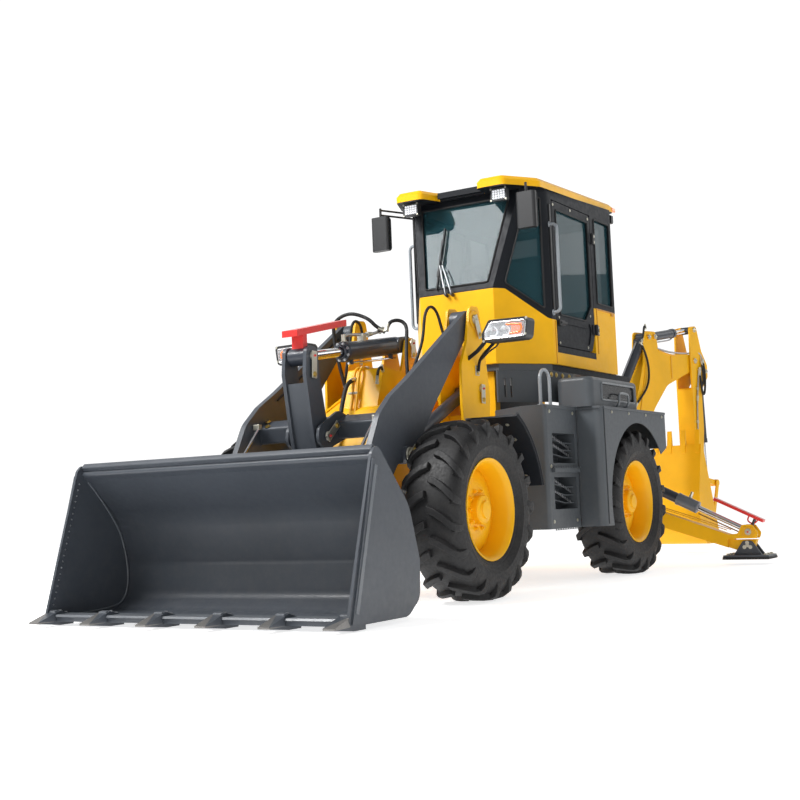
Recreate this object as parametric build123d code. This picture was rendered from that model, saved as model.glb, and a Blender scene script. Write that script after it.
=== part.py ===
from build123d import *
from math import atan2, cos, degrees, hypot, radians, sin
import os

# Articulated backhoe loader, in millimetres.
# While it is built, X = 0 is the rear axle, +X points to the loader bucket, +Y to the left,
# and Z = 0 is the ground. The finished pieces are then moved along X, so that the origin is
# on the ground under the middle of the machine's length.

# ---------------------------------------------------------------- driving dimensions
PIN_GAP = 6.0             # side clearance between a moving eye and its ears
RUN_GAP = 0.5             # gap between a turning hub and its axle end
SEAT = 0.3                # gap at which two seated curved faces stay apart

WHEELBASE = 2600.0
PIVOT_X = 1300.0          # steering pivot, midway between the axles
TRACK = 1610.0
TYRE_R = 590.0            # over the lugs
TYRE_W = 400.0
LUG_N = 15                # bars on each half of the tread
LUG_H = 34.0
LUG_W = 50.0
LUG_SLANT = 24.0          # degrees between a bar and the axle
RIM_R = 305.0             # bead seat
FLANGE_R = 327.0
RIM_W = 330.0
RIM_WALL = 12.0
HUB_R = 140.0
HUB_FACE_Y = 40.0         # the hub disc's outer face, outboard of the tyre's centre plane
DISC_T = 14.0
AXLE_R = 85.0
STUD_PCD = 220.0
STUD_N = 10
STUD_R = 9.0

FRAME_Y = 250.0           # centre of a side plate of either frame
FRAME_T = 25.0
FRAME_LOW = 735.0         # underside of the side plates over the axles
FRAME_TOP = 1010.0
REAR_END_X = -1390.0
FRONT_START_X = 1420.0
HITCH_R = 75.0            # lugs of the steering pivot
HITCH_T = 40.0
HITCH_PIN_R = 32.0
HITCH_LEVELS = (560.0, 960.0)

PLATFORM_Z = 1650.0       # underside of the cab platform
PLATFORM_T = 50.0
CAB_BASE_Z = PLATFORM_Z + PLATFORM_T + SEAT
CAB_TOP_Z = 3090.0
CAB_WALL = 40.0
CAB_SIDE_Y = 620.0
CAB_NOSE_Y = 330.0
CAB_REAR_X = -580.0
CAB_POST_X = 750.0        # where the sides turn in towards the nose
CAB_NOSE_X = 1190.0
SCREEN_LOW_Z = 2300.0     # foot of the leaning windscreen
SCREEN_TOP_X = 960.0      # its head, at the underside of the roof
GLASS_T = 6.0
ROOF_T = 75.0
ROOF_RISE = 80.0          # by which the roof climbs from the windscreen to its rear end

DOOR_REAR_X = -110.0
DOOR_FRONT_X = 670.0
DOOR_LOW_Z = 1850.0
DOOR_TOP_Z = 3040.0
DOOR_GAP = 7.0
DOOR_T = 34.0

TOWER_X = 2000.0          # lift arm pivot
TOWER_Z = 1930.0
TOWER_OUT_Y = 568.0
TOWER_IN_Y = 395.0
TOWER_T = 20.0
ARM_Y = 526.0          # centre of an arm plate
LIFT_CYL_Y = 455.0       # centre of a lift cylinder, inboard of the arm
ARM_T = 40.0
ARM_PIN_R = 35.0
BUCKET_PIN_X = 3620.0
BUCKET_PIN_Z = 270.0
BUCKET_PIN_R = 30.0

BUCKET_W = 2200.0
BUCKET_WALL = 16.0
TOOTH_N = 6
TOOTH_TIP_X = 4615.0

BACKHOE_X = -1560.0       # slewing axis
REST_SLEW = 8.0           # degrees to the left as it parks

LEG_X = -1210.0           # plane of the stabilizers
LEG_PIN_Y = 480.0
LEG_PIN_Z = 500.0
FOOT_PIN_Y = 1500.0
FOOT_PIN_Z = 165.0
PAD_LOW_Z = 45.0          # underside of a foot pad with the legs parked


AXLE_Z = TYRE_R
nodes = {}                # file name -> solid


# ---------------------------------------------------------------- small tools
def box(x, y, z):
    """A block from three (low, high) pairs."""
    size = [b - a for a, b in (x, y, z)]
    return Pos(x[0], y[0], z[0]) * Box(*size, align=(Align.MIN,) * 3)


def outline(points, radii=0.0):
    """A closed face through 3-D points, with rounded corners where a radius is given."""
    if not isinstance(radii, (list, tuple)):
        radii = [radii] * len(points)
    if any(radii):
        return make_face(FilletPolyline(*points, radius=radii, close=True))
    return make_face(Polyline(*points, close=True))


def plate_xz(points, y, radii=0.0):
    """A side-view outline of (x, z) points, thick from y[0] to y[1]."""
    face = outline([(px, y[0], pz) for px, pz in points], radii)
    return extrude(face, amount=y[1] - y[0], dir=(0, 1, 0))


def plate_yz(points, x, radii=0.0):
    """A front-view outline of (y, z) points, thick from x[0] to x[1]."""
    face = outline([(x[0], py, pz) for py, pz in points], radii)
    return extrude(face, amount=x[1] - x[0], dir=(1, 0, 0))


def plate_xy(points, z, radii=0.0):
    """A plan outline of (x, y) points, thick from z[0] to z[1]."""
    face = outline([(px, py, z[0]) for px, py in points], radii)
    return extrude(face, amount=z[1] - z[0], dir=(0, 0, 1))


def rod(start, end, radius):
    """A round bar from one point to another."""
    a, b = Vector(*start), Vector(*end)
    plane = Plane(origin=a, z_dir=b - a)
    return extrude(plane * Circle(radius), amount=(b - a).length)


def pin_y(x, z, radius, y):
    return rod((x, y[0], z), (x, y[1], z), radius)


def pin_z(x, y, radius, z):
    return rod((x, y, z[0]), (x, y, z[1]), radius)


def both(shape):
    """The shape and its mirror image across the machine's centre plane."""
    return shape + mirror(shape, about=Plane.XZ)


def other(shape):
    return mirror(shape, about=Plane.XZ)


def bar(a, b, half, y, eye=None):
    """A flat link between two (x, z) pins, thick from y[0] to y[1]."""
    dx, dz = b[0] - a[0], b[1] - a[1]
    run = hypot(dx, dz)
    nx, nz = -dz / run * half, dx / run * half
    web = plate_xz([(a[0] + nx, a[1] + nz), (b[0] + nx, b[1] + nz),
                    (b[0] - nx, b[1] - nz), (a[0] - nx, a[1] - nz)], y)
    end = eye or half
    return web + pin_y(*a, end, y) + pin_y(*b, end, y)


def along(a, b, distance):
    """The (x, z) point at a distance from a towards b."""
    run = hypot(b[0] - a[0], b[1] - a[1])
    return (a[0] + (b[0] - a[0]) * distance / run, a[1] + (b[1] - a[1]) * distance / run)


def cylinder_pair(base, eye, y, bore, rod_r, barrel_len, eye_w, eye_r, base_w=None, gland=1.12, room=10.0):
    """A hydraulic cylinder in a side-view plane: its barrel and its rod.

    base and eye are (x, z) pins. The rod starts inside the barrel's open bore, and can
    still run out by room.
    """
    base_w = base_w or eye_w
    total = hypot(eye[0] - base[0], eye[1] - base[1])
    end = along(base, eye, barrel_len)
    foot = along(base, eye, eye_r + 12)
    p3 = lambda p: (p[0], y, p[1])
    barrel = rod(p3(foot), p3(end), bore + 9)
    gland_at = along(base, eye, barrel_len - 46)
    barrel += rod(p3(gland_at), p3(end), bore * gland + 9)
    barrel += bar(base, along(base, eye, eye_r + 20), bore * 0.7, (y - base_w / 2, y + base_w / 2), eye_r)
    barrel -= rod(p3(along(base, eye, eye_r + 36)), p3(along(base, eye, barrel_len - 60)), bore)
    barrel -= rod(p3(along(base, eye, barrel_len - 65)), p3(along(base, eye, barrel_len + 5)), rod_r + 0.3)
    piston_at = barrel_len - 62 - room
    piston = rod(p3(along(base, eye, piston_at - 34)), p3(along(base, eye, piston_at)), bore - 0.5)
    shaft = rod(p3(along(base, eye, piston_at - 20)), p3(along(base, eye, total - eye_r * 0.6)), rod_r)
    head = pin_y(*eye, eye_r, (y - eye_w / 2, y + eye_w / 2))
    return barrel, piston + shaft + head


# ---------------------------------------------------------------- wheels and axles
def mirrored_section(section):
    """The closed face of a wheel section given for one half as (radius, distance) points."""
    full = section + [(r, -d) for r, d in reversed(section[1:-1])]
    return outline([(r, d, 0) for r, d in full])


def tyre_lugs(crown, half):
    """Slanted bars over both halves of the tread, trimmed to the tyre's outer envelope."""
    envelope = revolve(mirrored_section(
        [(crown - 14, 0), (crown - 14, half - 84), (TYRE_R - 84, half - 34), (TYRE_R - 130, half - 20),
         (TYRE_R - 130, half), (TYRE_R - 42, half - 6), (TYRE_R, half - 40), (TYRE_R, 0)]), axis=Axis.Y)
    bars = None
    for i in range(2 * LUG_N):
        hand = 1 if i % 2 else -1
        reach = half + 40
        block = Box(LUG_W, reach, 200, align=(Align.CENTER, Align.MIN, Align.CENTER))
        slanted = Rot(0, 0, hand * LUG_SLANT) * (block if hand > 0 else Rot(0, 0, 180) * block)
        bar_at = Rot(0, i * 180 / LUG_N, 0) * Pos(0, 0, TYRE_R - 60) * Pos(0, -hand * 12, 0) * slanted
        bars = bar_at if bars is None else bars + bar_at
    return bars & envelope


def wheel(x, side):
    """Tyre and rim about the wheel's own axle; side is +1 on the left."""
    y = side * TRACK / 2
    half = TYRE_W / 2
    # (radius, distance from the centre plane) of the carcass, one half
    crown = TYRE_R - LUG_H
    section = [(RIM_R + SEAT, 0), (RIM_R + SEAT, RIM_W / 2 - 16), (FLANGE_R + 8, RIM_W / 2 - 16),
               (FLANGE_R + 60, half - 14), (TYRE_R - 130, half - 6), (TYRE_R - 70, half - 26),
               (crown, half - 75),
               (crown, 0)]
    tyre = revolve(mirrored_section(section), axis=Axis.Y) + tyre_lugs(crown, half)
    w2 = RIM_W / 2
    rim_half = [(RIM_R - RIM_WALL, 0), (RIM_R - RIM_WALL, w2 - 26), (FLANGE_R - 12, w2 - 12),
                (FLANGE_R, w2),
                (FLANGE_R + 6, w2 - 3), (FLANGE_R + 6, w2 - 13), (RIM_R, w2 - 15), (RIM_R, 0)]
    rim = revolve(mirrored_section(rim_half), axis=Axis.Y)
    disc = Pos(0, HUB_FACE_Y - DISC_T / 2, 0) * Rot(90, 0, 0) * Cylinder(RIM_R - RIM_WALL + 1, DISC_T)
    hub = Pos(0, HUB_FACE_Y + 14, 0) * Rot(90, 0, 0) * Cylinder(HUB_R, 28)
    cap = Pos(0, HUB_FACE_Y + 45, 0) * Rot(90, 0, 0) * Cone(70, 55, 40)
    back = HUB_FACE_Y - DISC_T
    drum_len = 150.0
    drum = Pos(0, back - drum_len / 2, 0) * Rot(90, 0, 0) * Cylinder(HUB_R - 5, drum_len)
    rim = rim + disc + hub + cap + drum
    studs = Rot(90, 0, 0) * PolarLocations(STUD_PCD / 2, STUD_N)
    for spot in studs:
        rim += Pos(0, HUB_FACE_Y + 28, 0) * spot * Cylinder(STUD_R + 5, 24)
    if side < 0:
        tyre, rim = other(tyre), other(rim)
    place = Pos(x, y, AXLE_Z)
    return place * tyre, place * rim


HUB_BACK_Y = TRACK / 2 + HUB_FACE_Y - DISC_T - 150.0     # inner face of the wheel hub


def axle(x):
    """Axle housing with its differential, seated under the frame's side plates."""
    reach = HUB_BACK_Y - RUN_GAP
    tube = rod((x, -reach, AXLE_Z), (x, reach, AXLE_Z), AXLE_R)
    bulb = Pos(x, 0, AXLE_Z) * Sphere(185)
    flange = both(rod((x, reach - 30, AXLE_Z), (x, reach, AXLE_Z), HUB_R - 25))
    pads = both(box((x - 110, x + 110), (FRAME_Y - 60, FRAME_Y + 60), (AXLE_Z + 20, FRAME_LOW - SEAT)))
    nose = rod((x, 0, AXLE_Z + 10), (x + (250 if x < PIVOT_X else -250), 0, AXLE_Z + 40), 75)
    return tube + bulb + flange + pads + nose


for tag, wx in (("rear", 0.0), ("front", WHEELBASE)):
    nodes[f"{tag}_axle"] = axle(wx)
    for word, side in (("left", 1), ("right", -1)):
        nodes[f"tyre_{tag}_{word}"], nodes[f"rim_{tag}_{word}"] = wheel(wx, side)

# ---------------------------------------------------------------- rear frame
LEG_BOX_X = (LEG_X - 130, LEG_X + 130)
side_plate = plate_xz(
    [(1180, 480), (1240, 480), (1240, 1120), (900, 1120), (600, FRAME_TOP), (REAR_END_X, FRAME_TOP),
     (REAR_END_X, 520), (-420, 520), (-300, FRAME_LOW), (300, FRAME_LOW), (420, 480)],
    (FRAME_Y - FRAME_T / 2, FRAME_Y + FRAME_T / 2), [0, 0, 30, 60, 60, 0, 0, 60, 60, 60, 60])
rear_frame = both(side_plate)
rear_frame += box((1165, 1200), (-FRAME_Y, FRAME_Y), (480, 1120))
rear_frame += box((-420, -395), (-FRAME_Y, FRAME_Y), (540, 980))
for level in HITCH_LEVELS:
    for dz in (-1, 1):
        mid = level + dz * (HITCH_T + PIN_GAP)
        lug = plate_xy([(1190, -110), (1190, 110), (PIVOT_X, HITCH_R), (PIVOT_X, -HITCH_R)],
                       (mid - HITCH_T / 2, mid + HITCH_T / 2))
        rear_frame += lug + pin_z(PIVOT_X, 0, HITCH_R, (mid - HITCH_T / 2, mid + HITCH_T / 2))
    span = 1.5 * HITCH_T + PIN_GAP
    rear_frame += pin_z(PIVOT_X, 0, HITCH_PIN_R, (level - span - 14, level + span + 14))

# stabilizer beam: an open-fronted box across the tail, with ears for both legs
beam = box(LEG_BOX_X, (-LEG_PIN_Y - 70, LEG_PIN_Y + 70), (420, 900))
beam -= box((LEG_BOX_X[0] + 20, LEG_BOX_X[1] - 20), (FRAME_Y + 60, LEG_PIN_Y + 80), (400, 880))
beam -= box((LEG_BOX_X[0] + 20, LEG_BOX_X[1] - 20), (-LEG_PIN_Y - 80, -FRAME_Y - 60), (400, 880))
beam -= both(box((LEG_X - 58, LEG_X + 58), (FRAME_Y + 60, LEG_PIN_Y + 80), (870, 910)))
rear_frame += beam
rear_frame += box((REAR_END_X, REAR_END_X + 40), (-360, 360), (430, 1040))

# slewing ears at the tail
SLEW_LEVELS = (520.0, 960.0)
EAR_T = 45.0
for level in SLEW_LEVELS:
    ear = plate_xy([(REAR_END_X + 10, -95), (REAR_END_X + 10, 95), (BACKHOE_X, 95), (BACKHOE_X, -95)],
                   (level - EAR_T / 2, level + EAR_T / 2))
    rear_frame += ear + pin_z(BACKHOE_X, 0, 95, (level - EAR_T / 2, level + EAR_T / 2))

# cab platform on four posts, with a tail step beside the backhoe controls
PLATFORM_REAR_X = -900.0
platform = plate_xy(
    [(PLATFORM_REAR_X, -CAB_SIDE_Y + 20), (CAB_POST_X, -CAB_SIDE_Y + 20), (CAB_NOSE_X - 40, -CAB_NOSE_Y),
     (CAB_NOSE_X - 40, CAB_NOSE_Y), (CAB_POST_X, CAB_SIDE_Y - 20), (PLATFORM_REAR_X, CAB_SIDE_Y - 20)],
    (PLATFORM_Z, PLATFORM_Z + PLATFORM_T))
rear_frame += platform
POSTS_X = (-760.0, 1060.0)
for px in POSTS_X:
    top = FRAME_TOP if px < 0 else 1120.0
    rear_frame += both(box((px - 40, px + 40), (FRAME_Y - 50, FRAME_Y + 10), (top - 20, PLATFORM_Z + 1)))

# steering cylinder ears on the rear frame
STEER_BASE = (860.0, 345.0)
STEER_EYE = (1760.0, 330.0)
STEER_Z = 430.0


def fork_z(x, y, root_y, z, half_gap, thick, radius, pin_r=0.0):
    """Two level ears from a side plate at root_y out to a pin at (x, y)."""
    ears = None
    for sign in (-1, 1):
        low = z + sign * half_gap if sign > 0 else z - half_gap - thick
        plate = plate_xy([(x - radius * 1.3, root_y), (x + radius * 1.3, root_y), (x + radius, y),
                          (x - radius, y)],
                         (low, low + thick)) + pin_z(x, y, radius, (low, low + thick))
        ears = plate if ears is None else ears + plate
    root = box((x - radius * 1.3, x + radius * 1.3), (root_y - 10, root_y + 10),
               (z - half_gap - thick, 481))
    return ears + root


SIDE_OUT = FRAME_Y + FRAME_T / 2
STEER_EYE_W = 44.0
rear_frame += both(fork_z(*STEER_BASE, FRAME_Y, STEER_Z, STEER_EYE_W / 2 + PIN_GAP, 16, 38))
nodes["rear_frame"] = rear_frame

ENGINE_X = (180.0, 1010.0)
nodes["engine"] = box(ENGINE_X, (-FRAME_Y + FRAME_T / 2 + SEAT, FRAME_Y - FRAME_T / 2 - SEAT),
                      (800, 1120)) \
    + box(ENGINE_X, (-FRAME_Y + FRAME_T, FRAME_Y - FRAME_T), (1119, 1560))

# ---------------------------------------------------------------- side boxes, fenders, panels
STEP_Y = 800.0            # outer face of the step box
FENDER_Y = 1000.0         # outer face of the rear fender
SHEET = 8.0
BOX_TOP = 1340.0
BOX_LOW = 415.0
STEP_FRONT_X = 1360.0
COLUMN_X = 790.0
ARCH_R = 640.0
STEP_IN_Y = FRAME_Y + FRAME_T / 2 + SEAT

step_box = plate_xy([(COLUMN_X - 60, STEP_IN_Y), (1120, STEP_IN_Y), (STEP_FRONT_X, 600),
                     (STEP_FRONT_X, STEP_Y),
                     (COLUMN_X - 60, STEP_Y)], (BOX_LOW, BOX_TOP), [0, 0, 30, 30, 0])
step_box -= box((1080, STEP_FRONT_X + 10), (0, 560), (0, 1130))
step_box -= box((0, STEP_FRONT_X + 10), (0, 610), (BOX_LOW - 10, 520))
for step_low, step_high in ((905.0, 1130.0), (560.0, 800.0)):
    step_box -= box((850, 1260), (STEP_Y - 150, STEP_Y + 10), (step_low, step_high))
for step_low, step_high in ((905.0, 1130.0), (560.0, 800.0)):
    for k in range(3):
        low = step_low + 40 + k * (step_high - step_low - 60) / 3
        step_box += plate_xz([(849, low), (1000, low), (1261, low + 34), (1261, low + 42), (1000, low + 8),
                              (849, low + 8)],
                             (STEP_Y - 90, STEP_Y - 30))
tread = box((830, 1290), (STEP_Y - 20, STEP_Y + 26), (835, 865))
column = plate_xy([(COLUMN_X - 90, STEP_Y - 100), (COLUMN_X, STEP_Y - 100), (COLUMN_X, FENDER_Y),
                   (COLUMN_X - 90, FENDER_Y)], (BOX_LOW, BOX_TOP), [0, 0, 60, 0])
arch = pin_y(0, AXLE_Z, ARCH_R, (500, 1100))
fender_side = plate_xz([(-640, 1035), (-640, BOX_TOP), (COLUMN_X - 60, BOX_TOP), (COLUMN_X - 60, BOX_LOW),
                        (560, BOX_LOW), (560, 560)], (FENDER_Y - SHEET, FENDER_Y)) - arch
fender_top = box((-640, COLUMN_X - 20), (560, FENDER_Y), (BOX_TOP - SHEET, BOX_TOP))
fender_back = box((-640, -640 + SHEET), (560, FENDER_Y), (1035, BOX_TOP))
fender_front = box((COLUMN_X - 90, COLUMN_X - 60), (560, FENDER_Y - 5), (BOX_LOW, BOX_TOP)) - arch
inner_wall = box((-640, COLUMN_X - 60), (560, 560 + SHEET), (1225, BOX_TOP))
hanger = box((-640, -600), (SIDE_OUT + SEAT, 565), (BOX_TOP - 50, BOX_TOP)) \
    + box((-640, -600), (SIDE_OUT + SEAT, SIDE_OUT + 30), (960, BOX_TOP))
side_box = step_box + tread + column + fender_side + fender_top + fender_back + fender_front + inner_wall + hanger

tool_box = Pos(330, 800, BOX_TOP + SEAT) * Box(1010, 300, 235,
                                               align=(Align.CENTER, Align.CENTER, Align.MIN))
tool_box = fillet(tool_box.edges().filter_by(Axis.Z), 70)
tool_box = fillet(tool_box.faces().sort_by(Axis.Z)[-1].edges(), 35)
tool_box -= plate_xz([(-60, BOX_TOP + 62), (620, BOX_TOP + 62), (620, BOX_TOP + 188),
                      (-60, BOX_TOP + 188)], (938, 960), 38)
tool_box += plate_xz([(-35, BOX_TOP + 84), (595, BOX_TOP + 84), (595, BOX_TOP + 166),
                      (-35, BOX_TOP + 166)], (930, 944), 26)

PANEL_Y = CAB_SIDE_Y - 24
PANEL_LOW = 1400.0
PANEL_REAR_X = 350.0
panel = plate_xz([(PANEL_REAR_X, PANEL_LOW), (880, PANEL_LOW), (880, PLATFORM_Z - 2),
                  (PANEL_REAR_X, PLATFORM_Z - 2)],
                 (PANEL_Y - SHEET, PANEL_Y), [110, 0, 0, 10])
front_panel = plate_xy([(CAB_POST_X, PANEL_Y - SHEET), (CAB_POST_X, PANEL_Y),
                        (CAB_NOSE_X - 30, CAB_NOSE_Y - 12),
                        (CAB_NOSE_X - 30, CAB_NOSE_Y - 24)], (PANEL_LOW, PLATFORM_Z - 2))
for slot_x in (1060, 1105):
    front_panel -= box((slot_x - 9, slot_x + 9), (CAB_NOSE_Y, PANEL_Y), (1440, 1590))
panel_rib = box((560, 590), (FRAME_Y - FRAME_T + SEAT, PANEL_Y - SHEET + 1), (1500, 1530))
engine_panel = panel - box((CAB_POST_X, 900), (0, 700), (1300, 1700)) + front_panel + panel_rib
nodes["side_boxes"] = both(side_box) + both(tool_box) + both(engine_panel)

# ---------------------------------------------------------------- cab
def cab_prism(inset, low, high):
    """The cab's plan, drawn in by inset, and cut off by the leaning windscreen."""
    plan = [(CAB_REAR_X, -CAB_SIDE_Y), (CAB_POST_X, -CAB_SIDE_Y), (CAB_NOSE_X, -CAB_NOSE_Y),
            (CAB_NOSE_X, CAB_NOSE_Y), (CAB_POST_X, CAB_SIDE_Y), (CAB_REAR_X, CAB_SIDE_Y)]
    face = outline([(px, py, low) for px, py in plan])
    if inset:
        face = offset(face, amount=-inset, kind=Kind.INTERSECTION)
    solid = extrude(face, amount=high - low, dir=(0, 0, 1))
    slope = (CAB_NOSE_X - SCREEN_TOP_X) / (CAB_TOP_Z - SCREEN_LOW_Z)
    front = CAB_NOSE_X - inset * hypot(1, slope)
    rise = 1000.0
    cut = plate_xz([(front, SCREEN_LOW_Z), (front + 400, SCREEN_LOW_Z), (front + 400, SCREEN_LOW_Z + rise),
                    (front - slope * rise, SCREEN_LOW_Z + rise)], (-800, 800))
    return solid - cut


ROOF_PITCH = degrees(atan2(ROOF_RISE, SCREEN_TOP_X - CAB_REAR_X))
pitch_roof = Pos(SCREEN_TOP_X, 0, CAB_TOP_Z) * Rot(0, ROOF_PITCH, 0) * Pos(-SCREEN_TOP_X, 0, -CAB_TOP_Z)
above_cab = pitch_roof * box((-1500, 2000), (-900, 900), (CAB_TOP_Z, CAB_TOP_Z + 600))
outer = cab_prism(0, CAB_BASE_Z, CAB_TOP_Z + 2 * ROOF_RISE) - above_cab
shell = outer - cab_prism(CAB_WALL, CAB_BASE_Z + CAB_WALL, CAB_TOP_Z + 3 * ROOF_RISE)
door_cut = box((DOOR_REAR_X, DOOR_FRONT_X), (400, 800), (DOOR_LOW_Z, DOOR_TOP_Z))
shell = shell - both(door_cut)

# the painted lower shell reaches up to this line, in side view
belt = [(CAB_REAR_X - 50, 1600), (CAB_NOSE_X + 50, 1600), (CAB_NOSE_X + 50, 2290), (1100, 2290),
        (770, 2060),
        (DOOR_FRONT_X, 2060), (DOOR_FRONT_X, 1800), (DOOR_REAR_X, 1800), (DOOR_REAR_X, 2240),
        (CAB_REAR_X - 50, 2240)]
lower_zone = plate_xz(belt, (-700, 700), [0, 0, 0, 30, 80, 0, 0, 0, 0, 0])
nodes["cab_shell"] = shell & lower_zone
frame_part = shell - lower_zone

quarter_cut = plate_xz([(1105, 2340), (905, 3030), (800, 3030), (800, 2130)], (250, 720), 20)
rear_side_cut = box((-520, -190), (560, 720), (2290, 3020))
screen_cut = plate_yz([(-275, 2350), (275, 2350), (395, 3030), (-395, 3030)], (900, 1400), 20)
rear_cut = box((-700, -500), (-520, 520), (2290, 3020))
windows = both(quarter_cut + rear_side_cut) + screen_cut + rear_cut
nodes["cab_frame"] = frame_part - windows

pane_zone = cab_prism(14, CAB_BASE_Z, CAB_TOP_Z) - cab_prism(14 + GLASS_T, CAB_BASE_Z - 10, CAB_TOP_Z + 10)
panes = None
for cut in (screen_cut, rear_cut, quarter_cut, other(quarter_cut), rear_side_cut, other(rear_side_cut)):
    pane = pane_zone & cut
    panes = pane if panes is None else panes + pane
nodes["cab_glass"] = panes

roof_plan = [(-790, -590), (900, -640), (1250, -480), (1250, -250), (1010, -210), (1010, 210), (1250, 250),
             (1250, 480), (900, 640), (-790, 590)]
roof = plate_xy(roof_plan, (CAB_TOP_Z + SEAT, CAB_TOP_Z + ROOF_T),
                [90, 120, 60, 50, 30, 30, 50, 60, 120, 90])
roof = chamfer(roof.faces().sort_by(Axis.Z)[-1].edges(), 28)
visor = box((1000, 1060), (-200, 200), (CAB_TOP_Z + 14, CAB_TOP_Z + 60))
nodes["cab_roof"] = pitch_roof * (roof + visor)

LAMP_Z = CAB_TOP_Z - 55
REAR_LAMP_Z = LAMP_Z + ROOF_RISE
lamp = fillet(box((1115, 1165), (330, 470), (LAMP_Z - 62, LAMP_Z + 38)).edges().filter_by(Axis.X), 14)
lamp -= box((1158, 1170), (342, 458), (LAMP_Z - 50, LAMP_Z + 26))
lamp += box((1125, 1145), (392, 408), (LAMP_Z + 30, CAB_TOP_Z + 60))
for k in range(5):
    lamp += box((1100, 1116), (340 + k * 26, 346 + k * 26), (LAMP_Z - 54, LAMP_Z + 30))
lamp += fillet(box((-735, -690), (500, 590), (REAR_LAMP_Z - 38,
                                              REAR_LAMP_Z + 38)).edges().filter_by(Axis.X), 12)
lamp += box((-715, -700), (532, 548), (REAR_LAMP_Z + 30, CAB_TOP_Z + 2 * ROOF_RISE))
nodes["work_lamps"] = both(lamp) - above_cab

MIRROR_X, MIRROR_Y, MIRROR_Z = 1210.0, 660.0, 2860.0
mirror_body = fillet(box((MIRROR_X - 30, MIRROR_X + 30), (MIRROR_Y - 80, MIRROR_Y + 80),
                         (MIRROR_Z - 150, MIRROR_Z + 130)).edges().filter_by(Axis.Z), 24)
wall_run = hypot(CAB_NOSE_X - CAB_POST_X, CAB_SIDE_Y - CAB_NOSE_Y)
wall_nx, wall_ny = (CAB_SIDE_Y - CAB_NOSE_Y) / wall_run, (CAB_NOSE_X - CAB_POST_X) / wall_run
foot_x = 905.0
foot_y = CAB_NOSE_Y + (CAB_NOSE_X - foot_x) * (CAB_SIDE_Y - CAB_NOSE_Y) / (CAB_NOSE_X - CAB_POST_X)
stem = rod((MIRROR_X, MIRROR_Y, MIRROR_Z + 120), (MIRROR_X, MIRROR_Y, MIRROR_Z + 205), 10)
for arm_z in (MIRROR_Z + 150, MIRROR_Z + 190):
    wall_at = (foot_x + wall_nx * SEAT, foot_y + wall_ny * SEAT, arm_z)
    pad_at = (foot_x + wall_nx * 14, foot_y + wall_ny * 14, arm_z)
    stem += rod(wall_at, pad_at, 17) + rod(pad_at, (MIRROR_X, MIRROR_Y, arm_z), 8)
RAIL_X, RAIL_Y = 722.0, CAB_SIDE_Y + 62
TUBE_R = 13.0


def tube(points, bend):
    """A bent round tube through 3-D points."""
    path = FilletPolyline(*points, radius=bend)
    start = Plane(origin=path @ 0, z_dir=path % 0)
    return sweep(start * Circle(TUBE_R), path=path)


grab = tube([(RAIL_X, CAB_SIDE_Y + SEAT, 2115), (RAIL_X, RAIL_Y, 2115), (RAIL_X, RAIL_Y, 2825),
             (RAIL_X, CAB_SIDE_Y + SEAT, 2825)], 40)
hoop = tube([(1130, 740, BOX_TOP + SEAT), (1130, 740, 1610), (1300, 740, 1610),
             (1300, 740, BOX_TOP + SEAT)], 80)
nodes["rails_and_mirrors"] = both(mirror_body + stem) + both(grab) + both(hoop)

FLOOR_Z = CAB_BASE_Z + CAB_WALL
seat_x = 150.0
interior = box((seat_x - 180, seat_x + 180), (-170, 170), (FLOOR_Z + SEAT, FLOOR_Z + 330)) \
    + fillet(box((seat_x - 240, seat_x + 260), (-250, 250), (FLOOR_Z + 330, FLOOR_Z + 450)).edges(), 40) \
    + fillet(box((seat_x - 300, seat_x - 180), (-240, 240), (FLOOR_Z + 400, FLOOR_Z + 1010)).edges(), 40)
interior += box((820, 980), (-120, 120), (FLOOR_Z + SEAT, FLOOR_Z + 520)) \
    + rod((880, 0, FLOOR_Z + 500), (760, 0, FLOOR_Z + 690), 30)
wheel_plane = Plane(origin=(745, 0, FLOOR_Z + 700), z_dir=(-0.53, 0, 0.85))
interior += wheel_plane * Torus(180, 15) + wheel_plane * Cylinder(42, 40)
interior += wheel_plane * Box(350, 26, 12) + wheel_plane * Box(26, 350, 12)
nodes["cab_interior"] = interior


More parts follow.
